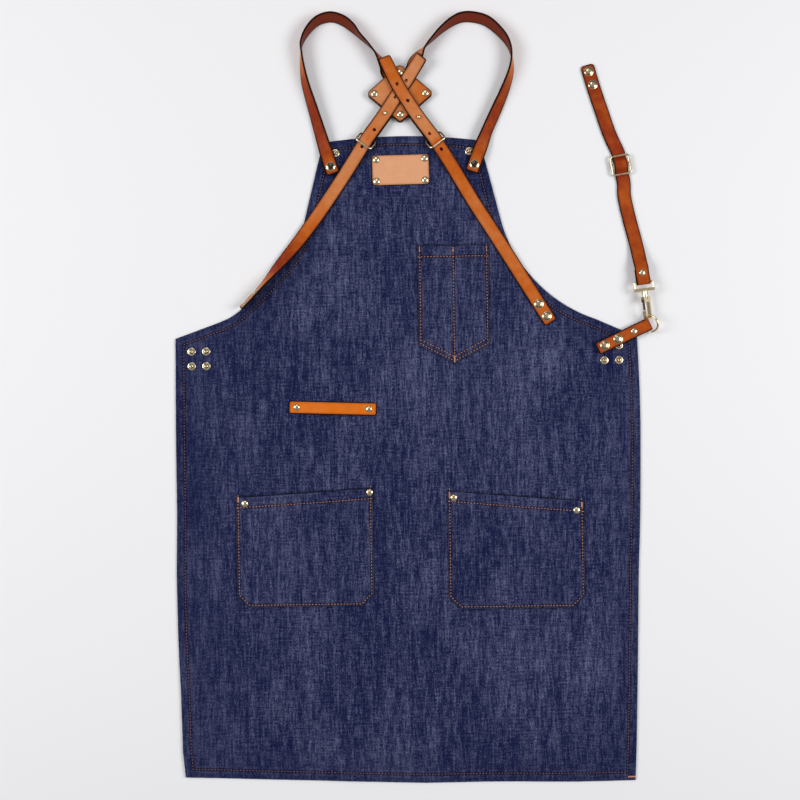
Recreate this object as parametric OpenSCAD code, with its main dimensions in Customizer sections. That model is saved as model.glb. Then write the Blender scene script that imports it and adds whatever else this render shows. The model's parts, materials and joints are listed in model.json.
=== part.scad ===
// Cross-back work apron, laid out flat with its leather harness and its unclipped waist strap.
// Origin: on the panel's centre line, level with the waist corners, on the surface it lies on.
// +Y runs towards the bib, +X to the right as seen from the front, +Z up off the surface.
// Left and right in names are as seen from the front.

/* [Panel] */
// Width of the panel at the waist corners
waist_w = 600; // [500:1:700]
// Width of the panel at the bottom hem
hem_w = 586; // [480:1:700]
// Length from the waist corners down to the hem
skirt_len = 574; // [470:1:700]
// Height from the waist corners up to the bib corners
bib_h = 252; // [215:1:305]
// Width of the bib between its top corners
bib_w = 204; // [180:1:260]
// Rise of the bib's top edge at its middle
bib_crown = 7; // [0:1:15]
// Radius of the armhole curve
armhole_r = 185; // [100:5:220]
// Slope of the armhole at the waist corner, from level
waist_slope = 19; // [10:1:22]
// Slope of the bib's side, from upright
bib_slope = 14; // [6:1:15]
// Thickness of the cloth
cloth_t = 1.5; // [1.0:0.1:2.5]

/* [Pockets] */
// Thickness of a pocket's cloth
pocket_t = 1.2; // [0.8:0.1:2]
// Height of the hand space inside a pocket
pocket_gap = 5; // [4.5:0.5:12]
// Width of a pocket's sewn margin
pocket_margin = 13; // [12:1:18]
// Width of a hand pocket
hand_w = 175; // [140:1:200]
// Distance of a hand pocket's inner edge from the centre line
hand_in = 48; // [30:1:60]
// Left hand pocket's mouth, inner end, below the waist
left_mouth = 196; // [160:1:240]
// Fall of the left hand pocket's mouth towards the side
left_fall = 9; // [0:1:25]
// Left hand pocket's bottom, below the waist
left_bottom = 350; // [300:1:420]
// Right hand pocket's mouth, inner end, below the waist
right_mouth = 199; // [160:1:240]
// Fall of the right hand pocket's mouth towards the side
right_fall = 17; // [0:1:25]
// Right hand pocket's bottom, below the waist
right_bottom = 356; // [300:1:420]
// Cut corner at the bottom of a hand pocket
hand_corner = 15; // [6:1:25]
// Chest pocket's edge nearest the centre line
chest_x = 18; // [5:1:30]
// Width of the chest pocket
chest_w = 92; // [76:1:110]
// Chest pocket's mouth, above the waist
chest_top = 115; // [100:1:130]
// Length of the chest pocket's sides
chest_side = 128; // [100:1:150]
// Depth of the chest pocket's point
chest_point = 24; // [10:1:35]

/* [Label and tool loop] */
// Width of the label patch
label_w = 75; // [60:1:90]
// Height of the label patch
label_h = 40; // [32:1:50]
// Distance of the label's middle below the bib corners
label_drop = 37; // [32:1:50]
// Corner rivets' distance in from the label's edges
label_rivet_in = 6; // [5.5:0.5:9]
// Length of the tool loop strip
tool_len = 114; // [95:1:140]
// Width of the tool loop strip
tool_w = 17; // [14:1:24]
// Height of the tool loop's arch above the cloth
tool_arch = 6; // [5:0.5:12]
// Tool loop's middle: distance left of the centre line
tool_x = 95; // [80:1:120]
// Tool loop's middle: distance below the waist
tool_y = 93; // [80:1:120]

/* [Leather and hardware] */
// Width of every strap
strap_w = 18; // [15:0.5:22]
// Thickness of the strap leather
strap_t = 2.2; // [1.8:0.1:2.7]
// Thickness of the patch leather
patch_t = 1.8; // [1.2:0.1:2.4]
// Radius of a rivet's cap
rivet_r = 4.8; // [3.5:0.1:5.2]
// Radius of a rivet's shank
shank_r = 1.5; // [1:0.1:2]
// Radius of a snap stud's base
stud_base_r = 5.4; // [5:0.1:6]
// Radius of a snap stud's post
stud_r = 2.2; // [1.8:0.1:2.6]
// Height of a snap stud's post above its base
stud_h = 2.2; // [1.8:0.1:2.6]
// Pitch of the four snap studs at each side
stud_pitch = 19; // [16:0.5:24]
// Distance of a side stud group's middle in from the waist corner
stud_in = 32; // [25:1:75]
// Distance of a side stud group's middle below the waist
stud_y = 26.5; // [26:0.5:40]
// Radius of a snap cap
cap_r = 6.1; // [5.5:0.1:6.5]
// Radius of the wire of rings, loops and buckle
wire_r = 1.3; // [1:0.1:1.5]

/* [Harness] */
// Distance of a shoulder snap in from the bib corner
snap_in = 9; // [8:1:16]
// Distance of a shoulder snap below the bib corner
snap_drop = 32; // [28:1:45]
// Width of the cross patch from corner to corner
cross_w = 88; // [80:1:100]
// Height of the cross patch from corner to corner
cross_h = 76; // [70:1:90]
// Distance of the cross patch's middle above the bib corners
cross_up = 61; // [56:1:75]
// Distance from the cross patch's middle to the left strap's button stud
button_left = 33; // [33:1:40]
// Distance from the cross patch's middle to the right strap's button stud
button_right = 40; // [33:1:42]
// Angle of the lower harness straps, from level
harness_angle = 53.5; // [50:0.5:57]
// Spacing of the two bars of a harness loop
loop_len = 14; // [12:0.5:18]
// Rest tilt of a harness loop
loop_tilt = 30; // [28:1:45]
// Radius of an adjusting hole
hole_r = 1.7; // [1.6:0.1:2.2]
// Pitch of the adjusting holes
hole_pitch = 25.4; // [20:0.1:30]

/* [Side tab and waist strap] */
// Angle at which the side tab lies
tab_angle = 25; // [22:1:35]
// Width of the side tab
tab_w = 16.5; // [14:0.5:18]
// Length of the side tab from its pivot snap to the ring's bar
tab_len = 62; // [56:1:75]
// Half of the ring's inside width
ring_half = 11; // [10:0.5:13]
// Length of the ring's straight legs
ring_leg = 5; // [4:0.5:6]
// Tilt of the ring at rest
ring_tilt = 50; // [40:1:60]
// Direction of the snap hook
hook_dir = 96.5; // [92:0.5:100]
// Roll of the snap hook about its length
hook_roll = -48; // [-52:1:-44]
// Length of the snap hook's gate
gate_len = 12.3; // [11:0.1:14]
// Inside height of the snap hook's mouth
mouth_h = 8; // [8:0.5:10]
// Height of the slide buckle's frame
buckle_len = 24; // [22:0.5:28]

/* [Fits] */
// Gap between pieces that move against each other
gap = 0.3; // [0.25:0.05:0.4]
// Gap between pieces that lie on each other
lay = 0.1; // [0.05:0.05:0.2]

/* [Hidden] */
$fn = 40;
denim = "#262c55";
tan = "#c4622a";
gold = "#d9c48c";
dark = "#7a3417";

// heights of a snap, from the cloth up
stud_base_t = 0.8;
socket_z = cloth_t + stud_base_t + gap;
socket_roof = 0.5;
socket_h = stud_h + socket_roof;
socket_r = 4.6;
snap_seat = socket_z + socket_h;
cap_h = 1.7;
back_t = 0.8;
back_r = 4.4;

// places on the panel
stud_dx = stud_pitch / 2;
snap_x = bib_w / 2 - snap_in;
snap_y = bib_h - snap_drop;
spare_stud = [snap_x - 6, snap_y + 18];
label_at = [-2.5, bib_h - label_drop];
label_tilt = 0.8;
tool_tilt = -2.2;
tool_pitch = tool_len - 20;

// heights of the cross patch stack
cross_x = -2;
cross_y = bib_h + cross_up;
strap_low = patch_t + lay;
strap_high = strap_low + strap_t + lay;
cross_top = strap_high + strap_t + lay;
flap_low = cross_top + patch_t + lay;
cross_rivet_in = 11;
cross_rivets = [for (s = [-1, 1]) each
    [[s * (cross_w / 2 - cross_rivet_in), 0], [0, s * (cross_h / 2 - cross_rivet_in)]]];

// the fold that holds a harness loop
bore_r = wire_r + 0.2;
fold_r = bore_r + strap_t;
fold_z = cloth_t + gap + fold_r;
fold_d = 70;
turn_d = 46;
// the turned end is this much inside the strap where they join, so that they never share a face
seam = 0.02;
flap_z = fold_z + fold_r + 0.2;
wire_half = strap_w / 2 + 1.5 + wire_r;

// the side tab and the ring
stud_x = waist_w / 2 - stud_in;
pivot = [stud_x - stud_dx, -stud_y + stud_dx];
tab_back = 10.4;
tab_z = snap_seat;
ring_z = tab_z - lay / 2;
tab_dir = [cos(tab_angle), sin(tab_angle), 0];
tab_side = [-sin(tab_angle), cos(tab_angle), 0];
ring_at = [pivot.x, pivot.y, ring_z] + tab_len * tab_dir;
ring_out = [cos(tab_angle) * cos(ring_tilt), sin(tab_angle) * cos(ring_tilt), sin(ring_tilt)];
grip_turn = 15;
grip = ring_at + (ring_leg + ring_half * sin(grip_turn)) * ring_out + ring_half * cos(grip_turn) * tab_side;

// the snap hook, along its own length from the ring's wire
hook_w = 5.2;
hook_wire = 2.4;
spine_low = -wire_r - 0.7 - hook_wire;
mouth_r = mouth_h / 2;
mouth_mid = spine_low + hook_wire + mouth_r;
nose = 5;
arm_mid = mouth_mid + mouth_r + hook_wire / 2;
gate_pivot = nose + hook_wire / 2 + 0.5 + gate_len;
gate_w = 2.4;
pin_r = 0.9;
collar_x = gate_pivot + 5;
collar_len = 7;
collar_r = 4.2;
stem_r = 1.6;
eye_x = collar_x + collar_len + gap;
eye_bar = eye_x + 12;
eye_half = strap_w / 2 + 1.5 + wire_r;

// where the waist strap leaves the hook
hook_flat = [cos(hook_dir), sin(hook_dir), 0];
hook_up = [-sin(hook_dir) * sin(-hook_roll), cos(hook_dir) * sin(-hook_roll), cos(hook_roll)];
eye_at = grip + eye_bar * hook_flat + mouth_mid * hook_up;

// ---- shared shapes ----

function unit(v) = v / norm(v);
// rounds a list of stations [x, y, base height, roll] into a smooth run; height and roll change evenly
function spline(p, n) = concat([for (i = [0 : len(p) - 2]) for (k = [0 : n - 1])
    let (t = k / n, a = p[max(i - 1, 0)], b = p[i], c = p[i + 1], d = p[min(i + 2, len(p) - 1)],
        q = (2 * b + (c - a) * t + (2 * a - 5 * b + 4 * c - d) * t * t + (3 * b - a - 3 * c + d) * t * t * t) / 2)
    [q.x, q.y, b.z + (c.z - b.z) * t, b[3] + (c[3] - b[3]) * t]], [p[len(p) - 1]]);
// points of an outline, listed anticlockwise, with every corner rounded to radius r
function rounded(p, r) = [for (i = [0 : len(p) - 1])
    let (c = p[i], u = unit(p[(i + len(p) - 1) % len(p)] - c), v = unit(p[(i + 1) % len(p)] - c),
        half = acos(u * v) / 2, mid = c + unit(u + v) * r / sin(half),
        start = c + u * r / tan(half) - mid, a = atan2(start.y, start.x))
    for (k = [0 : 6]) mid + r * [cos(a + k * (90 - half) / 3), sin(a + k * (90 - half) / 3)]];
// middle of the strap at a station, from the height of its lowest point
function middle(q) = [q.x, q.y, q.z + strap_w / 2 * abs(sin(q[3])) + strap_t / 2 * abs(cos(q[3]))];
// the four corners of the strap at station i
function corners(q, i) =
    let (d = unit(middle(q[min(i + 1, len(q) - 1)]) - middle(q[max(i - 1, 0)])),
        across = unit([-d.y, d.x, 0]) * cos(q[i][3]) + [0, 0, sin(q[i][3])],
        through = unit(cross(d, across)), m = middle(q[i]), w = across * strap_w / 2, t = through * strap_t / 2)
    [m + w + t, m - w + t, m - w - t, m + w - t];
// a flat leather strap along a list of stations
module strap(stations, n = 3) {
    q = spline(stations, n);
    last = len(q) - 1;
    sides = [for (i = [0 : last - 1]) for (k = [0 : 3]) let (a = 4 * i + k, b = 4 * i + (k + 1) % 4)
        each [[b + 4, b, a], [a + 4, b + 4, a]]];
    ends = [[0, 1, 2], [0, 2, 3], [4 * last + 2, 4 * last + 1, 4 * last], [4 * last + 3, 4 * last + 2, 4 * last]];
    polyhedron([for (i = [0 : last]) each corners(q, i)], concat(sides, ends));
}
// low dome with its flat side on z = 0
module dome(r, h) {
    ball = (r * r + h * h) / (2 * h);
    intersection() {
        cylinder(r = r + 0.01, h = h);
        translate([0, 0, h - ball]) sphere(ball, $fn = 90);
    }
}
// rivet that clamps layers from z_low up to z_high
module rivet(z_low, z_high, r = rivet_r) {
    translate([0, 0, z_high]) dome(r, cap_h);
    translate([0, 0, z_low]) cylinder(r = shank_r, h = z_high - z_low);
}
// snap stud set in the cloth
module stud() {
    translate([0, 0, back_t]) cylinder(r = shank_r, h = cloth_t - back_t);
    translate([0, 0, cloth_t]) {
        cylinder(r = stud_base_r, h = stud_base_t);
        cylinder(r = stud_r, h = stud_base_t + stud_h);
    }
}
// snap cap above a strap whose underside is at z = 0, with its socket below
module snap() {
    difference() {
        union() {
            translate([0, 0, strap_t]) dome(cap_r, cap_h);
            cylinder(r = shank_r, h = strap_t);
            translate([0, 0, -socket_h]) cylinder(r = socket_r, h = socket_h);
        }
        translate([0, 0, -socket_h - 1]) cylinder(r = stud_r + gap, h = socket_h + 1 - socket_roof);
    }
}
// wire rectangle lying flat, one long bar on the Y axis, the other at x = len
module wire_frame(len, half, r) {
    for (x = [0, len]) translate([x, -half, 0]) rotate([-90, 0, 0]) cylinder(r = r, h = 2 * half);
    for (y = [-half, half]) translate([0, y, 0]) {
        rotate([0, 90, 0]) cylinder(r = r, h = len);
        for (x = [0, len]) translate([x, 0, 0]) sphere(r);
    }
}
// rolled leather round a bar that lies along Y
module fold(r, w = strap_w) { rotate([90, 0, 0]) cylinder(r = r, h = w, center = true); }
module fold_bore() { rotate([90, 0, 0]) cylinder(r = bore_r, h = strap_w + 2, center = true); }

// ---- the panel and what is sewn or riveted to it ----

slope_a = 270 - waist_slope;
slope_b = 180 + bib_slope;
up_a = [-cos(waist_slope), sin(waist_slope)];
down_b = [sin(bib_slope), -cos(bib_slope)];
reach = (waist_w - bib_w) / 2;
run_b = (bib_h * cos(waist_slope) - reach * sin(waist_slope)) / cos(bib_slope + waist_slope);
knee = [bib_w / 2, bib_h] + run_b * down_b;
touch = armhole_r * tan((slope_a - slope_b) / 2);
armhole_mid = knee - touch * up_a + armhole_r * [sin(waist_slope), cos(waist_slope)];
half_edge = concat([[hem_w / 2, -skirt_len], [waist_w / 2, 0]],
    [for (k = [0 : 10]) let (a = slope_a + (slope_b - slope_a) * k / 10)
        armhole_mid + armhole_r * [cos(a), sin(a)]],
    [for (k = [0 : 5]) let (u = 1 - k / 5) [u * bib_w / 2, bib_h + bib_crown * (1 - u * u)]]);
side_stud_list = [for (x = [-1, 1], y = [-1, 1]) [stud_x + x * stud_dx, -stud_y + y * stud_dx]];
bib_stud_list = [for (s = [-1, 1]) each [[s * snap_x, snap_y], [s * spare_stud.x, spare_stud.y]]];
label_rivet_list = [for (x = [-1, 1], y = [-1, 1]) label_at
    + [x * (label_w / 2 - label_rivet_in), y * (label_h / 2 - label_rivet_in)]
    + label_tilt * PI / 180 * [-y * (label_h / 2 - label_rivet_in), x * (label_w / 2 - label_rivet_in)]];
tool_rivet_list = [for (x = [-1, 1]) [-tool_x, -tool_y] + x * tool_pitch / 2 * [cos(tool_tilt), sin(tool_tilt)]];
rivet_in = 6.5;
rivet_below = 9;
function pocket_rivet(side, mouth, fall) = [for (u = [rivet_in, hand_w - rivet_in])
    [side * (hand_in + u), -mouth - fall * u / hand_w - rivet_below]];
pocket_rivet_list = concat(pocket_rivet(-1, left_mouth, left_fall), pocket_rivet(1, right_mouth, right_fall));
cloth_holes = concat(side_stud_list, [for (p = side_stud_list) [-p.x, p.y]], bib_stud_list, label_rivet_list,
    tool_rivet_list, pocket_rivet_list);

module apron_panel() {
    color(denim) difference() {
        linear_extrude(cloth_t) polygon(concat(half_edge,
            [for (k = [len(half_edge) - 2 : -1 : 0]) [-half_edge[k].x, half_edge[k].y]]));
        for (p = cloth_holes) translate([p.x, p.y, -1]) {
            cylinder(r = shank_r, h = cloth_t + 2);
            cylinder(r = back_r, h = back_t + 1);
        }
    }
}
// humps of a pocket's front across its width: [start, end] pairs
function hump_line(humps, base, rise) = [for (h = humps) each
    [[h[0], base], [h[0] + pocket_ramp, base + rise], [h[1] - pocket_ramp, base + rise], [h[1], base]]];
pocket_ramp = 8;
pocket_wall = 2;
// pocket front shaped over its hand space; child 0 is its outline, w its width, with x from 0 to w
module pouch(w, humps, y_low, y_high) {
    under = concat([[0, 0]], hump_line(humps, 0, pocket_gap), [[w, 0]]);
    over = concat([[0, pocket_t]], hump_line(humps, pocket_t, pocket_gap), [[w, pocket_t]]);
    back = [for (k = [len(over) - 1 : -1 : 0]) over[k]];
    translate([0, 0, cloth_t]) {
        intersection() {
            linear_extrude(pocket_gap + pocket_t + 1) children(0);
            translate([0, y_high, 0]) rotate([90, 0, 0]) linear_extrude(y_high - y_low)
                polygon(concat(under, back));
        }
        intersection() {
            linear_extrude(pocket_gap + pocket_t + 1) difference() {
                children(0);
                translate([0, pocket_wall]) children(0);
            }
            translate([0, y_high, 0]) rotate([90, 0, 0]) linear_extrude(y_high - y_low)
                polygon(concat([[0, 0], [w, 0]], back));
        }
    }
}
module chest_pocket() {
    low = chest_top - chest_side - chest_point;
    mid = chest_w / 2;
    color(denim) translate([chest_x, 0, 0])
        pouch(chest_w, [[4, mid - 2], [mid + 2, chest_w - 4]], low, chest_top)
        polygon([[0, chest_top], [0, low + chest_point], [mid, low], [chest_w, low + chest_point],
            [chest_w, chest_top]]);
}
module hand_pocket(mouth, fall, bottom) {
    difference() {
        translate([hand_in, 0, 0]) pouch(hand_w, [[pocket_margin, hand_w - pocket_margin]], -bottom, -mouth)
            polygon([[0, -mouth], [0, hand_corner - bottom], [hand_corner, -bottom],
                [hand_w - hand_corner, -bottom], [hand_w, hand_corner - bottom], [hand_w, -mouth - fall]]);
        for (p = pocket_rivet(1, mouth, fall)) translate([p.x, p.y, cloth_t - 1])
            cylinder(r = shank_r, h = pocket_t + 2);
    }
}
module hand_pocket_left() { color(denim) mirror([1, 0, 0]) hand_pocket(left_mouth, left_fall, left_bottom); }
module hand_pocket_right() { color(denim) hand_pocket(right_mouth, right_fall, right_bottom); }
module pocket_rivets() {
    color(gold) for (p = pocket_rivet_list) translate([p.x, p.y, 0])
        rivet(back_t, cloth_t + pocket_t);
}
module label_patch() {
    color(tan) difference() {
        translate([label_at.x, label_at.y, cloth_t]) rotate(label_tilt) linear_extrude(patch_t)
            polygon(rounded([[-1, -1], [1, -1], [1, 1], [-1, 1]] * [[label_w / 2, 0], [0, label_h / 2]], 5));
        for (p = label_rivet_list) translate([p.x, p.y, 0]) cylinder(r = shank_r, h = 10);
    }
}
module label_rivets() {
    color(gold) for (p = label_rivet_list) translate([p.x, p.y, 0])
        rivet(back_t, cloth_t + patch_t);
}
// tool loop strip: flat under its rivets, arched between them
module tool_loop() {
    flat = 10 + rivet_r + 1;
    bow = [for (k = [0 : 12]) let (u = k / 12)
        [flat + u * (tool_len - 2 * flat), tool_arch * sin(180 * u) * sin(180 * u)]];
    line = concat([[0, 0]], bow, [[tool_len, 0]]);
    color(tan) difference() {
        translate([-tool_x, -tool_y, cloth_t]) rotate(tool_tilt) translate([-tool_len / 2, tool_w / 2, 0])
            rotate([90, 0, 0]) linear_extrude(tool_w)
            polygon(concat(line, [for (k = [len(line) - 1 : -1 : 0]) line[k] + [0, patch_t]]));
        for (p = tool_rivet_list) translate([p.x, p.y, 0]) cylinder(r = shank_r, h = 10);
    }
}
module tool_loop_rivets() {
    color(gold) for (p = tool_rivet_list) translate([p.x, p.y, 0])
        rivet(back_t, cloth_t + patch_t, 4.4);
}
module side_studs_right() { color(gold) for (p = side_stud_list) translate([p.x, p.y, 0]) stud(); }
module side_studs_left() { color(gold) for (p = side_stud_list) translate([-p.x, p.y, 0]) stud(); }
module bib_studs() { color(gold) for (p = bib_stud_list) translate([p.x, p.y, 0]) stud(); }
module rivet_backs() {
    color(gold) for (p = cloth_holes) translate([p.x, p.y, 0]) cylinder(r = back_r, h = back_t);
}

// ---- the harness ----

cross_at = [cross_x, cross_y];
lower_dir = [cos(harness_angle), -sin(harness_angle)];
flat_lift = cloth_t + gap;
// stations near the bib are counted from the snap, those near the crossing from the cross patch's middle
function from_snap(p) = [for (q = p) [q.x - snap_x, q.y + snap_y, q.z, q[3]]];
function from_cross(p, x = cross_x) = [for (q = p) [q.x + x, q.y + cross_y, q.z, q[3]]];
// run from the crossing down to the fold, as distances from the cross patch's middle
function to_fold(p, x = cross_x) = [for (q = p) [x + q[0] * lower_dir.x, cross_y + q[0] * lower_dir.y, q[1], 0]];
shoulder_left = concat(
    from_snap([[3.6, -10, snap_seat, 0], [0, 0, snap_seat, 0], [-3.6, 12, snap_seat, 0], [-9, 30, 2, -24],
        [-21, 72, 0.4, -45], [-31, 107, 0.3, -58], [-34.7, 130, 0.2, -72], [-35.7, 146, 0.2, -83],
        [-35.5, 159, 0.2, -92], [-27.5, 175, 0.2, -105], [-14.5, 188, 0.2, -114], [2, 193, 0.2, -120],
        [17, 189, 0.2, -120], [29.5, 180, 0.2, -114]]),
    from_cross([[-51.4, 75.6, 0.2, -96], [-39.5, 63.5, 0.3, -68], [-29.5, 51.5, 0.6, -42], [-20.5, 37, 1.4, -14],
        [-17, 30.5, strap_low, 0], [0, 0, strap_low, 0]]),
    to_fold([[31, strap_low], [34, strap_high], [turn_d + 2, strap_high]]));
// the right strap is laid out as its own mirror image
shoulder_right = concat(
    from_snap([[3.6, -10, snap_seat, 0], [0, 0, snap_seat, 0], [-4.6, 12, snap_seat, 0],
        [-16.5, 42, 1.9, -36], [-27.5, 66, 0.6, -40], [-40, 93.6, 0.3, -51], [-48.8, 119, 0.2, -66],
        [-50.3, 139, 0.2, -84], [-46.5, 154, 0.2, -98], [-37.5, 168, 0.2, -110], [-20, 184, 0.2, -119],
        [-2, 190, 0.2, -121], [14, 190, 0.2, -119], [28, 183.5, 0.2, -112]]),
    from_cross([[-54.5, 81, 0.2, -103], [-45, 74.5, 0.2, -92], [-33, 61.5, 0.4, -62], [-25, 49.5, 1.2, -34],
        [-19, 39, 3, -14], [-16, 29.5, strap_high, 0], [0, 0, strap_high, 0]], -cross_x),
    to_fold([[34, strap_high], [turn_d + 2, strap_high]], -cross_x));
// leather from the button stud to the loop: top layer, rolled end and the layer turned back under it
module turned_end(button_d, lift) {
    rotate(-harness_angle) difference() {
        union() {
            rotate([90, 0, 0]) linear_extrude(strap_w - 2 * seam, center = true) {
                polygon([[turn_d, lift + seam], [turn_d, lift + strap_t - seam], [fold_d, fold_z + strap_t],
                    [fold_d, fold_z + lay / 2]]);
                polygon([[button_d - 6, lift - strap_t - lay], [button_d - 6, lift - lay], [turn_d, lift - lay],
                    [fold_d, fold_z - lay / 2], [fold_d, fold_z - strap_t], [turn_d, lift - strap_t - lay]]);
            }
            translate([fold_d, 0, fold_z]) fold(fold_r, strap_w - 2 * seam);
        }
        translate([fold_d, 0, fold_z]) fold_bore();
    }
}
module shoulder(stations, x, button_d) {
    difference() {
        union() {
            strap(stations);
            translate([x, cross_y, 0]) turned_end(button_d, strap_high);
        }
        translate([-snap_x, snap_y, 0]) cylinder(r = shank_r, h = 20);
        translate([x + button_d * lower_dir.x, cross_y + button_d * lower_dir.y, -1])
            cylinder(r = shank_r, h = 20);
    }
}
module shoulder_strap_left() { color(tan) shoulder(shoulder_left, cross_x, button_right); }
module shoulder_strap_right() { color(tan) mirror([1, 0, 0]) shoulder(shoulder_right, -cross_x, button_left); }
module shoulder_snaps() {
    color(gold) for (s = [-1, 1]) translate([s * snap_x, snap_y, snap_seat]) snap();
}
module cross_patch(z) {
    difference() {
        translate([cross_x, cross_y, z]) linear_extrude(patch_t)
            polygon(rounded([[cross_w / 2, 0], [0, cross_h / 2], [-cross_w / 2, 0], [0, -cross_h / 2]], 5));
        for (p = cross_rivets) translate([cross_x + p.x, cross_y + p.y, z - 1])
            cylinder(r = shank_r, h = patch_t + 2);
    }
}
module cross_patch_back() { color(tan) cross_patch(0); }
module cross_patch_front() { color(tan) cross_patch(cross_top); }
module cross_patch_rivets() {
    color(gold) for (p = cross_rivets) translate([cross_x + p.x, cross_y + p.y, 0])
        rivet(0, cross_top + patch_t, 4.6);
}
button_list = [cross_at + button_right * lower_dir, cross_at + button_left * [-lower_dir.x, lower_dir.y]];
button_low = strap_high - strap_t - lay;
button_z = strap_high + strap_t;
module button_studs() {
    color(gold) for (p = button_list) translate([p.x, p.y, 0]) {
        translate([0, 0, button_low]) cylinder(r = shank_r - 0.05, h = button_z - button_low);
        translate([0, 0, button_z]) cylinder(r = 3.4, h = 0.8);
        translate([0, 0, button_z]) cylinder(r = 1.4, h = flap_z + strap_t + 1.6 - button_z);
        translate([0, 0, flap_z + strap_t + 2]) sphere(2.5);
    }
}
module button_screws() {
    color(gold) for (p = button_list) translate([p.x, p.y, button_low - 1]) cylinder(r = 3.2, h = 1);
}
fold_right = cross_at + fold_d * lower_dir;
fold_left = cross_at + fold_d * [-lower_dir.x, lower_dir.y];
// the back straps: free flap, over the button stud, over the fold, under the loop's free bar, down to the end
over_patch = max(flap_low + strap_t + lay, flap_z);
under_bar = fold_z + loop_len * sin(loop_tilt) - wire_r - 2 * gap - strap_t;
bar_run = loop_len * cos(loop_tilt);
flap_hole_right = [cross_x - 2.3, cross_y + 9];
flap_hole_left = [cross_x + 7.3, cross_y + 14];
left_roll = 68;
past_right = unit([8, -12.5]);
past_left = unit([-8, -12]);
// runs on from the fold: under the loop's free bar and down onto the cloth
function leave_loop(from, dir) = [[from.x, from.y, flap_z, 0],
    [from.x + bar_run * dir.x, from.y + bar_run * dir.y, under_bar, 0]];
back_right = concat([[cross_x - 20, cross_y + 46, over_patch - 1.6, -20],
        [cross_x - 15.5, cross_y + 36, over_patch - 0.6, -10],
        [flap_hole_right.x, flap_hole_right.y, over_patch + 0.4, 0],
        [cross_x + 11, cross_y - 13, over_patch, 0], [button_list[0].x, button_list[0].y, flap_z, 0]],
    leave_loop(fold_right, past_right),
    [for (q = [[22, -34, flap_z - 5.5], [38, -61, flat_lift + 0.4], [54, -88, flat_lift],
        [150, -243, flat_lift]]) [fold_right.x + q[0], fold_right.y + q[1], q[2], 0]]);
back_left = concat([[cross_x + 29, cross_y + 46, flap_low + 2.2, 27],
        [cross_x + 23, cross_y + 37, flap_low + 0.5, 15],
        [flap_hole_left.x, flap_hole_left.y, flap_low, 0], [cross_x - 6.8, cross_y - 7, flap_low, 0],
        [button_list[1].x, button_list[1].y, flap_z, 0]],
    leave_loop(fold_left, past_left),
    [for (q = [[-22, -33, flap_z - 5.5, 0], [-38, -57, flat_lift + 0.4, 0],
        [-62, -92, flat_lift, 4], [-92, -133, flat_lift, 20], [-118, -164, flat_lift, 42],
        [-143, -193, flat_lift, left_roll], [-168, -219, flat_lift, left_roll]])
        [fold_left.x + q[0], fold_left.y + q[1], q[2], q[3]]]);
// adjusting holes lie along the flap and past the loop, counted from the button stud
module adjust_holes(at, dir, steps) {
    for (s = steps) translate([at.x + s * hole_pitch * dir.x, at.y + s * hole_pitch * dir.y, 0])
        cylinder(r = hole_r, h = 40);
}
flap_dir_right = unit(button_list[0] - flap_hole_right);
flap_dir_left = unit(button_list[1] - flap_hole_left);
right_end = back_right[len(back_right) - 1];
right_run = unit([right_end.x, right_end.y] - fold_right);
right_snaps = [for (d = [10, 29]) [right_end.x, right_end.y] - d * right_run];
module back_strap_right() {
    color(tan) difference() {
        strap(back_right);
        adjust_holes(button_list[0], flap_dir_right, [-2, -1, 0, 1]);
        adjust_holes(fold_right, past_right, [20 / hole_pitch]);
        for (p = right_snaps) translate([p.x, p.y, -1]) cylinder(r = shank_r, h = 20);
    }
}
module back_strap_left() {
    color(tan) difference() {
        strap(back_left);
        adjust_holes(button_list[1], flap_dir_left, [-2, -1, 0, 1]);
        adjust_holes(fold_left, past_left, [15 / hole_pitch]);
        for (d = left_snaps) on_left_end(d) translate([0, 0, -1]) cylinder(r = shank_r, h = strap_t + 2);
    }
}
// snaps on the free end of a back strap: cap and socket together clamp the leather
left_last = len(back_left) - 1;
left_end = middle(back_left[left_last]);
left_run = unit(left_end - middle(back_left[left_last - 1]));
left_snaps = [9, 27];
module on_left_end(d) {
    heading = atan2(left_run.y, left_run.x);
    translate(left_end - d * left_run) rotate([0, 0, heading]) rotate([left_roll, 0, 0])
        translate([0, 0, -strap_t / 2]) children();
}
module back_strap_snaps() {
    color(gold) {
        for (p = right_snaps) translate([p.x, p.y, flat_lift]) free_snap();
        for (d = left_snaps) on_left_end(d) free_snap();
    }
}
// snap on a strap that lies down: its socket is pressed into the leather's thickness
module free_snap() {
    translate([0, 0, strap_t]) dome(cap_r, cap_h);
    cylinder(r = shank_r - 0.05, h = strap_t);
}
module harness_loop() {
    translate([0, 0, fold_z]) rotate([0, -loop_tilt, 0]) wire_frame(loop_len, wire_half, wire_r);
}
module harness_loop_right() {
    color(gold) translate([fold_right.x, fold_right.y, 0]) rotate(-harness_angle) harness_loop();
}
module harness_loop_left() {
    color(gold) translate([fold_left.x, fold_left.y, 0]) rotate(180 + harness_angle) harness_loop();
}

// ---- the side tab, the ring, the snap hook and the waist strap ----

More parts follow.
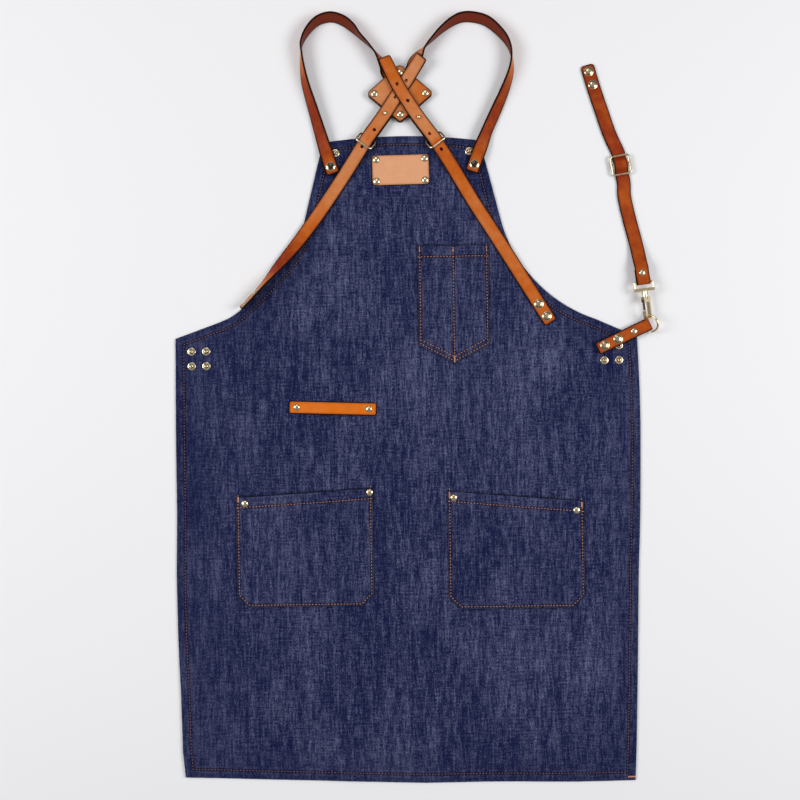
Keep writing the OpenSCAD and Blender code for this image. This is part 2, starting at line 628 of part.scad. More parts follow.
module on_tab() { translate([pivot.x, pivot.y, 0]) rotate(tab_angle) children(); }
tab_turn = 30;
tab_rivet_d = tab_len - 20;
module side_tab() {
    color(tan) on_tab() difference() {
        union() {
            translate([-tab_back, -tab_w / 2, tab_z]) cube([tab_len + tab_back, tab_w, strap_t]);
            translate([tab_len - tab_turn, -tab_w / 2, tab_z - strap_t - lay])
                cube([tab_turn, tab_w, strap_t]);
            translate([tab_len, 0, ring_z]) fold(fold_r, tab_w);
        }
        translate([tab_len, 0, ring_z]) fold_bore();
        for (d = [0, stud_pitch, tab_rivet_d]) translate([d, 0, -1]) cylinder(r = shank_r, h = 20);
    }
}
module side_tab_snaps() {
    color(gold) on_tab() for (d = [0, stud_pitch]) translate([d, 0, tab_z]) snap();
}
module side_tab_rivet() {
    low = tab_z - strap_t - lay;
    color(gold) on_tab() translate([tab_rivet_d, 0, 0]) {
        rivet(low - back_t, tab_z + strap_t);
        translate([0, 0, low - back_t]) cylinder(r = back_r, h = back_t);
    }
}
module d_ring() {
    color(gold) translate(ring_at) rotate([0, 0, tab_angle]) rotate([0, -ring_tilt, 0]) {
        translate([0, -ring_half, 0]) rotate([-90, 0, 0]) cylinder(r = wire_r, h = 2 * ring_half);
        for (y = [-ring_half, ring_half]) translate([0, y, 0]) {
            sphere(wire_r);
            rotate([0, 90, 0]) cylinder(r = wire_r, h = ring_leg);
        }
        translate([ring_leg, 0, 0]) rotate([0, 0, -90]) rotate_extrude(angle = 180)
            translate([ring_half, 0]) circle(wire_r);
    }
}
module on_hook() { translate(grip) rotate([0, 0, hook_dir]) rotate([hook_roll, 0, 0]) children(); }
// outline drawn in the hook's length and height, given a width across
module slab(w) { rotate([90, 0, 0]) linear_extrude(w, center = true) children(); }
module hook_body() {
    top = arm_mid + hook_wire / 2;
    color(gold) on_hook() difference() {
        union() {
            slab(hook_w) {
                intersection() {
                    translate([0, mouth_mid]) difference() {
                        circle(mouth_r + hook_wire);
                        circle(mouth_r);
                    }
                    translate([-20, -20]) square([20.01, 60]);
                }
                translate([0, spine_low]) square([collar_x, hook_wire]);
                translate([0, arm_mid - hook_wire / 2]) square([nose, hook_wire]);
                translate([nose, arm_mid]) circle(hook_wire / 2);
                translate([gate_pivot - 2, spine_low]) square([collar_x - gate_pivot + 2, top - spine_low]);
            }
            translate([collar_x - 0.01, 0, mouth_mid]) rotate([0, 90, 0]) cylinder(r = collar_r, h = collar_len);
        }
        // slot and bore for the gate
        translate([gate_pivot - 3, -gate_w / 2 - gap, arm_mid - 3]) cube([5.4, gate_w + 2 * gap, 8]);
        translate([gate_pivot, 0, arm_mid]) rotate([90, 0, 0]) cylinder(r = pin_r, h = 20, center = true);
        // bore and head room for the swivel
        translate([collar_x - 3, 0, mouth_mid]) rotate([0, 90, 0]) cylinder(r = 2.9, h = 4.6);
        translate([collar_x, 0, mouth_mid]) rotate([0, 90, 0]) cylinder(r = stem_r + 0.1, h = 20);
    }
}
module gate_pin() {
    color(gold) on_hook() translate([gate_pivot, 0, arm_mid]) rotate([90, 0, 0])
        cylinder(r = pin_r, h = hook_w, center = true);
}
module gate_spring() {
    color("silver") on_hook() translate([gate_pivot - 2.2, -0.9, arm_mid - 3]) cube([4.6, 1.8, 0.3]);
}
module hook_gate() {
    tip = gate_pivot - gate_len;
    color(dark) on_hook() difference() {
        slab(gate_w) {
            translate([tip, arm_mid - 0.9]) square([gate_len, 1.8]);
            translate([gate_pivot, arm_mid]) circle(1.8);
        }
        translate([gate_pivot, 0, arm_mid]) rotate([90, 0, 0]) cylinder(r = pin_r + 0.1, h = 10, center = true);
    }
}
// the eye turns about the hook's length and lies level at rest
module swivel_eye() {
    color(gold) translate(grip + mouth_mid * hook_up) rotate([0, 0, hook_dir]) {
        translate([collar_x - 2, 0, 0]) rotate([0, 90, 0]) cylinder(r = 2.5, h = 3);
        translate([collar_x - 2, 0, 0]) rotate([0, 90, 0]) cylinder(r = stem_r, h = eye_x - collar_x + 3);
        translate([eye_x, -eye_half - wire_r, -1.6]) cube([4, 2 * (eye_half + wire_r), 3.2]);
        translate([eye_x + 2, 0, 0]) wire_frame(eye_bar - eye_x - 2, eye_half, wire_r);
    }
}
// waist strap stations, counted from the eye's far bar
buckle_at = [eye_at.x - 25.5, eye_at.y + 153];
buckle_dir = [cos(100), sin(100)];
buckle_z = 4.9;
function by_eye(p) = [for (q = p) [eye_at.x + q[0], eye_at.y + q[1], q[2], 0]];
function by_buckle(p) = [for (q = p)
    [buckle_at.x + q[0] * buckle_dir.x, buckle_at.y + q[0] * buckle_dir.y, q[1], 0]];
strap_floor = 0.2;
over_bar = buckle_z + wire_r + gap;
strap_route = concat(
    by_eye([[-0.7, 6, eye_at.z - strap_t / 2], [-2.3, 20, eye_at.z - strap_t / 2], [-6.5, 40, 3.4],
        [-11.5, 60, 0.4], [-18, 84, strap_floor], [-23, 112, strap_floor]]),
    by_buckle([[-24, strap_floor], [2 - buckle_len / 2, strap_floor], [-2.4, over_bar], [2.4, over_bar],
        [buckle_len / 2 - 2, strap_floor], [24, strap_floor]]),
    by_eye([[-40, 195, strap_floor], [-52, 226, strap_floor], [-61, 254, strap_floor], [-67.5, 284, strap_floor]]));
waist_last = strap_route[len(strap_route) - 1];
waist_prev = strap_route[len(strap_route) - 2];
waist_run = unit([waist_last.x - waist_prev.x, waist_last.y - waist_prev.y]);
waist_rivet_d = 12;
waist_snaps = [9, 27];
module waist_strap() {
    color(tan) difference() {
        union() {
            strap(strap_route);
            translate(eye_at) rotate([0, 0, hook_dir]) {
                fold(fold_r);
                translate([0, -strap_w / 2, -strap_t / 2]) cube([7, strap_w, strap_t]);
                translate([0, -strap_w / 2, -fold_r]) cube([waist_rivet_d + 6, strap_w, strap_t]);
            }
        }
        translate(eye_at) rotate([0, 0, hook_dir]) {
            fold_bore();
            translate([waist_rivet_d, 0, -20]) cylinder(r = shank_r, h = 40);
        }
        for (d = waist_snaps) translate([waist_last.x - d * waist_run.x, waist_last.y - d * waist_run.y, -1])
            cylinder(r = shank_r, h = 20);
    }
}
module waist_strap_rivet() {
    color(gold) translate(eye_at) rotate([0, 0, hook_dir]) translate([waist_rivet_d, 0, 0])
        rivet(-fold_r - back_t, strap_t / 2, 4.4);
}
module waist_strap_snaps() {
    color(gold) for (d = waist_snaps)
        translate([waist_last.x - d * waist_run.x, waist_last.y - d * waist_run.y, strap_floor]) free_snap();
}
module slide_buckle() {
    color(gold) translate([buckle_at.x, buckle_at.y, buckle_z]) rotate(100) {
        translate([-buckle_len / 2, 0, 0]) wire_frame(buckle_len, wire_half, wire_r);
        translate([0, -wire_half, 0]) rotate([-90, 0, 0]) cylinder(r = wire_r - 0.2, h = 2 * wire_half);
    }
}

apron_panel();
chest_pocket();
hand_pocket_left();
hand_pocket_right();
pocket_rivets();
label_patch();
label_rivets();
tool_loop();
tool_loop_rivets();
side_studs_left();
side_studs_right();
bib_studs();
rivet_backs();
shoulder_strap_left();
shoulder_strap_right();
shoulder_snaps();
cross_patch_back();
cross_patch_front();
cross_patch_rivets();
button_studs();
button_screws();
back_strap_left();
back_strap_right();
back_strap_snaps();
harness_loop_left();
harness_loop_right();
side_tab();
side_tab_snaps();
side_tab_rivet();
d_ring();
hook_body();
gate_pin();
gate_spring();
hook_gate();
swivel_eye();
waist_strap();
waist_strap_rivet();
waist_strap_snaps();
slide_buckle();
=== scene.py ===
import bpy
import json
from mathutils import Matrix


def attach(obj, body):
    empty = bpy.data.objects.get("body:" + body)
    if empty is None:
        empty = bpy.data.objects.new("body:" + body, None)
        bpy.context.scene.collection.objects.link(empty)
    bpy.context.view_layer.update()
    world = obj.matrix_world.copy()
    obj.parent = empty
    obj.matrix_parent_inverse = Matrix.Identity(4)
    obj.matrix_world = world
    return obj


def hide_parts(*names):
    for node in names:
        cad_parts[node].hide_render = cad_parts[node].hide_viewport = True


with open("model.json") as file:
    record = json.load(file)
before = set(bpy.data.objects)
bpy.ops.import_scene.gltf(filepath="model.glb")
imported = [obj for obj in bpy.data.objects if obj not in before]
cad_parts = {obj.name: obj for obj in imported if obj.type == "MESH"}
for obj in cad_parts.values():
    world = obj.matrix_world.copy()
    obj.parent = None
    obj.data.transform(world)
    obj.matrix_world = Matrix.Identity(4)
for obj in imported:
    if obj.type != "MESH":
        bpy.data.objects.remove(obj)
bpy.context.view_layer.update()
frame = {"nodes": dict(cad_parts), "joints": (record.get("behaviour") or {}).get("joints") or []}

import json
import math

import bpy
import numpy as np
from mathutils import Vector
from mathutils.geometry import delaunay_2d_cdt

mm = 0.001
print("frame loaded:", len(frame["nodes"]), "CAD nodes")

# the camera looks straight down on the apron as it lies
view = {"over": (-7.7, -83.7), "height": 1560, "width": 1040, "turn": -0.85}


def makeCamera():
    data = bpy.data.cameras.new("camera")
    data.sensor_width = 36
    data.lens = 36 * view["height"] / view["width"]
    data.clip_end = 50
    camera = bpy.data.objects.new("camera", data)
    camera.location = (view["over"][0] * mm, view["over"][1] * mm, view["height"] * mm)
    camera.rotation_euler = (0, 0, math.radians(view["turn"]))
    bpy.context.scene.collection.objects.link(camera)
    bpy.context.scene.camera = camera


makeCamera()


# small node helpers
def addNode(tree, kind, inputs=None, **settings):
    made = tree.nodes.new(kind)
    for key, value in settings.items():
        setattr(made, key, value)
    for key, value in (inputs or {}).items():
        if isinstance(value, bpy.types.NodeSocket):
            tree.links.new(value, made.inputs[key])
        else:
            made.inputs[key].default_value = value
    return made


def maths(tree, operation, a, b=0.0, clamp=False):
    return addNode(tree, "ShaderNodeMath", {0: a, 1: b}, operation=operation, use_clamp=clamp).outputs[0]


def mixColour(tree, factor, a, b, blend="MIX"):
    made = addNode(tree, "ShaderNodeMix", {0: factor, 6: a, 7: b}, data_type="RGBA", blend_type=blend)
    return made.outputs[2]


def remap(tree, value, low, high, toLow=0.0, toHigh=1.0, smooth=True):
    kind = "SMOOTHSTEP" if smooth else "LINEAR"
    made = addNode(tree, "ShaderNodeMapRange", {0: value, 1: low, 2: high, 3: toLow, 4: toHigh},
                   interpolation_type=kind)
    return made.outputs[0]


def attribute(tree, name, socket="Fac"):
    return addNode(tree, "ShaderNodeAttribute", attribute_name=name).outputs[socket]


def stretched(tree, vector, scale):
    return addNode(tree, "ShaderNodeVectorMath", {0: vector, 1: scale}, operation="MULTIPLY").outputs[0]


def noise(tree, vector, scale, detail=2.0, rough=0.5):
    made = addNode(tree, "ShaderNodeTexNoise", {"Vector": vector, "Scale": scale, "Detail": detail,
                                                "Roughness": rough})
    return made.outputs["Fac"]


def newGroup(name, kind, inputs, outputs):
    tree = bpy.data.node_groups.new(name, kind)
    for title, socket, value in inputs:
        made = tree.interface.new_socket(title, in_out="INPUT", socket_type=socket)
        if value is not None:
            made.default_value = value
    for title, socket in outputs:
        tree.interface.new_socket(title, in_out="OUTPUT", socket_type=socket)
    return tree, tree.nodes.new("NodeGroupInput").outputs, tree.nodes.new("NodeGroupOutput").inputs


def newMaterial(name):
    material = bpy.data.materials.new(name)
    material.use_nodes = True
    tree = material.node_tree
    return material, tree, tree.nodes["Principled BSDF"]


# shader groups
def makeWeaveGroup():
    # slubby indigo twill: dark warp along Y with pale weft flecks in diagonal ribs
    tree, given, result = newGroup("slubTwill", "ShaderNodeTree", [
        ("Place", "NodeSocketVector", None), ("Thread Pitch", "NodeSocketFloat", 0.0008),
        ("Warp", "NodeSocketColor", (0.012, 0.016, 0.055, 1)),
        ("Weft", "NodeSocketColor", (0.13, 0.15, 0.27, 1)),
        ("Slub", "NodeSocketFloat", 0.5)],
        [("Colour", "NodeSocketColor"), ("Height", "NodeSocketFloat"), ("Roughness", "NodeSocketFloat")])
    place = given["Place"]
    apart = addNode(tree, "ShaderNodeSeparateXYZ", {0: place}).outputs
    column = maths(tree, "DIVIDE", apart[0], given["Thread Pitch"])
    row = maths(tree, "DIVIDE", apart[1], given["Thread Pitch"])
    wander = maths(tree, "MULTIPLY", noise(tree, stretched(tree, place, (900, 70, 1)), 1.0), 0.9)
    diagonal = maths(tree, "ADD", maths(tree, "ADD", column, maths(tree, "MULTIPLY", row, 0.75)), wander)
    rib = maths(tree, "SINE", maths(tree, "MULTIPLY", diagonal, math.pi * 0.9))
    warp = maths(tree, "ABSOLUTE", maths(tree, "SINE", maths(tree, "MULTIPLY", column, math.pi)))
    # uneven yarn: thin streaks down the cloth, short dashes across, salt and pepper, slow fading
    layers = [((390, 50, 1), 3, 0.72, 1.2), ((600, 400, 1), 2, 0.78, 1.15), ((50, 420, 1), 2, 0.6, 0.5),
              ((110, 12, 1), 2, 0.5, 0.5), ((9, 6, 1), 2, 0.5, 0.45)]
    streak = None
    for size, detail, rough, weight in layers:
        layer = maths(tree, "SUBTRACT", noise(tree, stretched(tree, place, size), 1.0, detail, rough), 0.5)
        layer = maths(tree, "MULTIPLY", layer, weight)
        streak = layer if streak is None else maths(tree, "ADD", streak, layer)
    fleck = remap(tree, streak, -0.20, 0.42, 0.0, 1.0, smooth=False)
    fleck = maths(tree, "POWER", fleck, 1.5)
    fleck = maths(tree, "MULTIPLY", fleck, given["Slub"])
    ribShare = maths(tree, "MULTIPLY", remap(tree, rib, 0.1, 1.0), 0.07)
    share = maths(tree, "ADD", fleck, ribShare, clamp=True)
    tree.links.new(mixColour(tree, share, given["Warp"], given["Weft"]), result["Colour"])
    height = maths(tree, "ADD", maths(tree, "MULTIPLY", rib, 0.5), maths(tree, "MULTIPLY", warp, 0.35))
    tree.links.new(maths(tree, "ADD", height, maths(tree, "MULTIPLY", streak, 0.9)), result["Height"])
    tree.links.new(remap(tree, streak, -0.3, 0.4, 0.95, 0.82), result["Roughness"])
    return tree


def makeGrainGroup():
    # leather: fine pores, creases that run across the bend, and slow mottling
    tree, given, result = newGroup("leatherGrain", "ShaderNodeTree", [
        ("Place", "NodeSocketVector", None), ("Pore Size", "NodeSocketFloat", 0.0007),
        ("Mottle Size", "NodeSocketFloat", 0.012)],
        [("Height", "NodeSocketFloat"), ("Pores", "NodeSocketFloat"), ("Mottle", "NodeSocketFloat")])
    place = given["Place"]
    poreScale = maths(tree, "DIVIDE", 1.0, given["Pore Size"])
    cells = addNode(tree, "ShaderNodeTexVoronoi", {"Vector": place, "Scale": poreScale},
                    feature="DISTANCE_TO_EDGE").outputs["Distance"]
    pores = remap(tree, cells, 0.02, 0.22)
    fine = noise(tree, place, 5200.0, 2, 0.6)
    crease = noise(tree, stretched(tree, place, (420, 60, 60)), 1.0, 3, 0.6)
    mottle = noise(tree, place, maths(tree, "DIVIDE", 1.0, given["Mottle Size"]), 4, 0.55)
    height = maths(tree, "ADD", maths(tree, "MULTIPLY", pores, 0.55), maths(tree, "MULTIPLY", fine, 0.25))
    height = maths(tree, "ADD", height, maths(tree, "MULTIPLY", crease, 0.6))
    tree.links.new(height, result["Height"])
    tree.links.new(pores, result["Pores"])
    tree.links.new(mottle, result["Mottle"])
    return tree


weaveGroup = makeWeaveGroup()
grainGroup = makeGrainGroup()


# materials
denimLook = {"warp": (0.0022, 0.0048, 0.043, 1), "weft": (0.150, 0.165, 0.285, 1), "slub": 0.82,
             "rub": (0.080, 0.088, 0.155, 1), "shade": (0.0022, 0.0026, 0.010, 1)}


def makeDenim(name, shift, slub, edgeFade):
    material, tree, surface = newMaterial(name)
    place = addNode(tree, "ShaderNodeTexCoord").outputs["Object"]
    place = addNode(tree, "ShaderNodeMapping", {"Vector": place, "Location": shift}).outputs[0]
    weave = addNode(tree, "ShaderNodeGroup", {"Place": place, "Warp": denimLook["warp"],
                                              "Weft": denimLook["weft"], "Slub": slub}, node_tree=weaveGroup)
    weave.inputs["Thread Pitch"].default_value = 0.0008
    edge = attribute(tree, "edge")
    # the cloth stays darker along its edges and towards the left
    across = addNode(tree, "ShaderNodeSeparateXYZ", {0: place}).outputs[0]
    fade = maths(tree, "MULTIPLY", remap(tree, edge, 0.002, 0.055, edgeFade, 1.0),
                 remap(tree, across, -0.30, -0.10, 0.4 + edgeFade * 0.6, 1.0))
    tree.links.new(maths(tree, "MULTIPLY", fade, slub), weave.inputs["Slub"])
    seam = attribute(tree, "seam")
    # folded edges rub pale, and the cloth beside a stitch line gets painted shade
    patches = remap(tree, noise(tree, place, 160.0, 3, 0.6), 0.42, 0.68)
    rub = maths(tree, "MULTIPLY", remap(tree, edge, 0.0, 0.0022, 0.75, 0.0), patches)
    ridge = maths(tree, "MULTIPLY", remap(tree, seam, 0.0012, 0.0034, 0.0, 1.0),
                  remap(tree, seam, 0.0034, 0.0062, 1.0, 0.0))
    ridge = maths(tree, "MULTIPLY", maths(tree, "MULTIPLY", ridge, patches), 0.35)
    rub = maths(tree, "ADD", rub, ridge, clamp=True)
    colour = mixColour(tree, rub, weave.outputs["Colour"], denimLook["rub"])
    # painted shade in the dip right beside the stitch line
    groove = remap(tree, seam, 0.0008, 0.0026, 0.66, 0.0)
    colour = mixColour(tree, groove, colour, denimLook["shade"])
    # painted shade beside the pockets' mouths and sides, from the panel's shade attribute
    colour = mixColour(tree, attribute(tree, "shade"), colour, denimLook["shade"])
    bump = addNode(tree, "ShaderNodeBump", {"Height": weave.outputs["Height"], "Strength": 0.55,
                                            "Distance": 0.00022})
    tree.links.new(colour, surface.inputs["Base Color"])
    tree.links.new(weave.outputs["Roughness"], surface.inputs["Roughness"])
    tree.links.new(bump.outputs[0], surface.inputs["Normal"])
    surface.inputs["Sheen Weight"].default_value = 0.03
    surface.inputs["Sheen Roughness"].default_value = 0.45
    surface.inputs["Specular IOR Level"].default_value = 0.1
    return material


# tone ramps, dark to pale; the strap ramp's pale end serves painted highlights (glare) where a strap turns
# towards the light, as well as paler leather
leatherLook = {"rim": (0.010, 0.0035, 0.0025, 1), "backDark": (0.120, 0.014, 0.004, 1),
               "backLight": (0.225, 0.033, 0.011, 1),
               "strap": [(0.13, 0.012, 0.004), (0.29, 0.033, 0.005), (0.56, 0.120, 0.010),
                         (0.64, 0.230, 0.080), (0.66, 0.335, 0.190)],
               "loop": [(0.32, 0.058, 0.005), (0.76, 0.165, 0.006), (0.86, 0.300, 0.075)],
               "label": [(0.32, 0.095, 0.035), (0.52, 0.195, 0.085), (0.77, 0.350, 0.170),
                         (0.80, 0.430, 0.245)]}


def makeLeather(name, tones, rough=0.45):
    # tone along the piece picks from tones, dark to pale, and also carries painted highlights; rims take
    # near-black edge dye, widened with painted contact shade; the back is left duller
    material, tree, surface = newMaterial(name)
    lay = attribute(tree, "lay", "Vector")
    grain = addNode(tree, "ShaderNodeGroup", {"Place": lay}, node_tree=grainGroup)
    mottle = maths(tree, "MULTIPLY", maths(tree, "SUBTRACT", grain.outputs["Mottle"], 0.5), 0.34)
    tone = maths(tree, "ADD", attribute(tree, "tone"), mottle, clamp=True)
    ramp = addNode(tree, "ShaderNodeValToRGB", {0: tone})
    bands = ramp.color_ramp.elements
    bands[0].color = (*tones[0], 1)
    bands[1].color = (*tones[-1], 1)
    for k, tint in enumerate(tones[1:-1], 1):
        bands.new(k / (len(tones) - 1)).color = (*tint, 1)
    poreShade = remap(tree, grain.outputs["Pores"], 0.0, 1.0, 0.84, 1.0, smooth=False)
    colour = mixColour(tree, 1.0, ramp.outputs[0], poreShade, "MULTIPLY")
    nap = noise(tree, lay, 900.0, 3, 0.7)
    back = mixColour(tree, nap, leatherLook["backDark"], leatherLook["backLight"])
    under = attribute(tree, "under")
    colour = mixColour(tree, under, colour, back)
    edge = attribute(tree, "edge")
    # rim and halo: dark edge dye, widened with painted contact shade around the piece
    wobble = maths(tree, "MULTIPLY", noise(tree, lay, 420.0, 2), 0.0006)
    rim = remap(tree, maths(tree, "ADD", edge, wobble), 0.0008, 0.0017, 1.0, 0.0)
    halo = remap(tree, edge, 0.0012, 0.0038, 0.40, 0.0)
    colour = mixColour(tree, halo, colour, (*tones[0], 1))
    colour = mixColour(tree, rim, colour, leatherLook["rim"])
    bump = addNode(tree, "ShaderNodeBump", {"Height": grain.outputs["Height"], "Strength": 0.3,
                                            "Distance": 0.00016})
    roughness = maths(tree, "ADD", maths(tree, "MULTIPLY", grain.outputs["Mottle"], 0.2), rough - 0.1)
    roughness = maths(tree, "ADD", roughness, maths(tree, "MULTIPLY", rim, 0.4), clamp=True)
    tree.links.new(colour, surface.inputs["Base Color"])
    tree.links.new(roughness, surface.inputs["Roughness"])
    tree.links.new(bump.outputs[0], surface.inputs["Normal"])
    surface.inputs["Specular IOR Level"].default_value = 0.09
    return material


def makeMetal(name, colour, worn, rough):
    material, tree, surface = newMaterial(name)
    place = addNode(tree, "ShaderNodeTexCoord").outputs["Object"]
    cloud = noise(tree, place, 900.0, 3, 0.6)
    scratch = noise(tree, stretched(tree, place, (2600, 300, 2600)), 1.0, 2, 0.6)
    tint = mixColour(tree, remap(tree, cloud, 0.4, 0.75), colour, worn)
    # painted shade in grooves and under rims, and painted dark reflections on cap tops, from the lathe
    # profile's third value
    tint = mixColour(tree, attribute(tree, "groove"), tint, (0.05, 0.03, 0.015, 1))
    tree.links.new(tint, surface.inputs["Base Color"])
    tree.links.new(remap(tree, scratch, 0.3, 0.8, rough, rough + 0.14), surface.inputs["Roughness"])
    bump = addNode(tree, "ShaderNodeBump", {"Height": scratch, "Strength": 0.06, "Distance": 0.0001})
    tree.links.new(bump.outputs[0], surface.inputs["Normal"])
    surface.inputs["Metallic"].default_value = 1.0
    return material


def makeThread(name, colour, deep):
    material, tree, surface = newMaterial(name)
    place = addNode(tree, "ShaderNodeTexCoord").outputs["Object"]
    twist = noise(tree, place, 2400.0, 2, 0.5)
    patch = noise(tree, place, 60.0, 2, 0.5)
    share = maths(tree, "ADD", maths(tree, "MULTIPLY", twist, 0.6), maths(tree, "MULTIPLY", patch, 0.5))
    colour = mixColour(tree, remap(tree, share, 0.35, 0.75), deep, colour)
    tree.links.new(colour, surface.inputs["Base Color"])
    bump = addNode(tree, "ShaderNodeBump", {"Height": twist, "Strength": 0.4, "Distance": 0.0001})
    tree.links.new(bump.outputs[0], surface.inputs["Normal"])
    surface.inputs["Roughness"].default_value = 0.6
    surface.inputs["Sheen Weight"].default_value = 0.2
    return material


denim = makeDenim("denim", (0, 0, 0), denimLook["slub"], 0.62)
pocketDenim = makeDenim("pocketDenim", (0.313, 0.127, 0), denimLook["slub"] * 0.95, 1.0)
tanLeather = makeLeather("tanLeather", leatherLook["label"], 0.55)
strapLeather = makeLeather("strapLeather", leatherLook["strap"])
loopLeather = makeLeather("loopLeather", leatherLook["loop"])
paleGold = makeMetal("paleGold", (0.84, 0.70, 0.47, 1), (0.62, 0.46, 0.25, 1), 0.16)
darkPlate = makeMetal("darkPlate", (0.16, 0.12, 0.08, 1), (0.08, 0.06, 0.05, 1), 0.3)
springSteel = makeMetal("springSteel", (0.55, 0.55, 0.56, 1), (0.4, 0.4, 0.42, 1), 0.25)
hemThread = makeThread("hemThread", (0.30, 0.120, 0.105, 1), (0.13, 0.055, 0.065, 1))
rustThread = makeThread("rustThread", (0.68, 0.30, 0.165, 1), (0.36, 0.125, 0.065, 1))
print("materials made")


# mesh helpers; outlines and heights in millimetres
def addPiece(name, points, faces, material):
    mesh = bpy.data.meshes.new(name)
    mesh.from_pydata((np.asarray(points, float) * mm).tolist(), [], faces)
    mesh.materials.append(material)
    mesh.polygons.foreach_set("use_smooth", [True] * len(mesh.polygons))
    piece = bpy.data.objects.new(name, mesh)
    bpy.context.scene.collection.objects.link(piece)
    return piece


def setFloat(piece, name, values):
    layer = piece.data.attributes.new(name, "FLOAT", "POINT")
    layer.data.foreach_set("value", np.asarray(values, np.float32).ravel())


def setVector(piece, name, values):
    layer = piece.data.attributes.new(name, "FLOAT_VECTOR", "POINT")
    layer.data.foreach_set("vector", np.asarray(values, np.float32).ravel())


def finishPiece(piece, body, nodes=()):
    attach(piece, body)
    if nodes:
        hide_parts(*nodes)
    return piece


def densify(outline, step):
    outline = np.asarray(outline, float)
    points = []
    for start, end in zip(outline, np.roll(outline, -1, axis=0)):
        count = max(1, int(math.ceil(np.linalg.norm(end - start) / step)))
        points += [start + (end - start) * k / count for k in range(count)]
    return np.array(points)


def distanceTo(points, line, closed=True):
    line = np.asarray(line, float)
    ends = np.roll(line, -1, axis=0) if closed else line[1:]
    starts = line if closed else line[:-1]
    best = np.full(len(points), 1e9)
    for a, b in zip(starts, ends):
        run = b - a
        t = np.clip(((points - a) @ run) / max(run @ run, 1e-9), 0, 1)
        best = np.minimum(best, np.linalg.norm(points - a - t[:, None] * run, axis=1))
    return best


def insideOf(points, outline):
    outline = np.asarray(outline, float)
    inside = np.zeros(len(points), bool)
    for a, b in zip(outline, np.roll(outline, -1, axis=0)):
        crosses = (a[1] > points[:, 1]) != (b[1] > points[:, 1])
        x = a[0] + (points[:, 1] - a[1]) * (b[0] - a[0]) / (b[1] - a[1] + 1e-12)
        inside ^= crosses & (points[:, 0] < x)
    return inside


def insetLine(outline, depth):
    # mitred copy of an anticlockwise outline, moved inwards
    outline = np.asarray(outline, float)
    before = outline - np.roll(outline, 1, axis=0)
    after = np.roll(outline, -1, axis=0) - outline
    n1 = np.stack([-before[:, 1], before[:, 0]], 1) / np.linalg.norm(before, axis=1)[:, None]
    n2 = np.stack([-after[:, 1], after[:, 0]], 1) / np.linalg.norm(after, axis=1)[:, None]
    return outline + depth * (n1 + n2) / (1 + (n1 * n2).sum(1))[:, None]


def rounded(corners, radius, steps=6):
    corners = [np.asarray(c, float) for c in corners]
    points = []
    for i, corner in enumerate(corners):
        u = corners[i - 1] - corner
        v = corners[(i + 1) % len(corners)] - corner
        u, v = u / np.linalg.norm(u), v / np.linalg.norm(v)
        half = math.acos(float(np.clip(u @ v, -1, 1))) / 2
        centre = corner + (u + v) / np.linalg.norm(u + v) * radius / math.sin(half)
        start = corner + u * radius / math.tan(half) - centre
        first = math.atan2(start[1], start[0])
        for k in range(steps + 1):
            angle = first + (math.pi - 2 * half) * k / steps
            points.append(centre + radius * np.array([math.cos(angle), math.sin(angle)]))
    return np.array(points)


def spread(outline, rings, along, spacing):
    # points of a flat piece: its rim, rings inside the rim, and an even filling; and its triangles
    rim = densify(outline, along)
    points = [rim]
    for depth in rings:
        ring = densify(insetLine(outline, depth), along)
        keep = (distanceTo(ring, outline) > depth * 0.98) & insideOf(ring, outline)
        points.append(ring[keep])
    low, high = rim.min(0), rim.max(0)
    columns = np.arange(low[0], high[0], spacing)
    rows = np.arange(low[1], high[1], spacing * 0.866)
    fill = np.array([[x + (spacing / 2 if j % 2 else 0), y] for j, y in enumerate(rows) for x in columns])
    clear = (max(rings) if len(rings) else 0) + spacing * 0.55
    near = distanceTo(fill, outline)
    points.append(fill[insideOf(fill, outline) & (near > clear)])
    flat = np.concatenate(points)
    loop = list(range(len(rim)))
    made = delaunay_2d_cdt([Vector(p) for p in flat], [], [loop], 1, 1e-5)
    place = np.array([list(p) for p in made[0]])
    source = [ids[0] if ids else -1 for ids in made[3]]
    onRim = np.array([0 <= s < len(rim) for s in source])
    return place, made[2], onRim


def layShell(name, outline, rings, along, spacing, heights, material):
    # closed sheet: top and bottom share the rim, heights() gives both for every point
    place, triangles, onRim = spread(outline, rings, along, spacing)
    edge = distanceTo(place, outline)
    low, high = heights(place, edge)
    count = len(place)
    under = np.full(count, -1)
    inner = np.flatnonzero(~onRim)
    under[inner] = count + np.arange(len(inner))
    under[onRim] = np.flatnonzero(onRim)
    middle = (low + high) / 2
    top = np.column_stack([place, np.where(onRim, middle, high)])
    bottom = np.column_stack([place[inner], low[inner]])
    faces = [tuple(t) for t in triangles] + [tuple(int(under[i]) for i in reversed(t)) for t in triangles]
    piece = addPiece(name, np.vstack([top, bottom]), faces, material)
    every = np.concatenate([edge, edge[inner]])
    setFloat(piece, "edge", every * mm)
    below = np.concatenate([np.zeros(count), np.ones(len(inner))])
    return piece, np.vstack([place, place[inner]]), every, below


def roundOver(edge, radius):
    # share of full height near a rounded rim
    t = np.clip(edge / radius, 0, 1)
    return np.sqrt(np.clip(1 - (1 - t) ** 2, 0, 1))


def smooth(value, low, high):
    t = np.clip((value - low) / (high - low), 0, 1)
    return t * t * (3 - 2 * t)


def waves(place, seed, size, count=7):
    # slow uneven swell over the cloth, from -1 to 1
    rng = np.random.default_rng(seed)
    total = np.zeros(len(place))
    for k in range(count):
        angle = rng.uniform(0, math.pi)
        length = size * rng.uniform(0.6, 1.6)
        phase = rng.uniform(0, 2 * math.pi)
        total += np.sin((place @ np.array([math.cos(angle), math.sin(angle)])) * 2 * math.pi / length + phase)
    return total / count ** 0.5 / 1.4


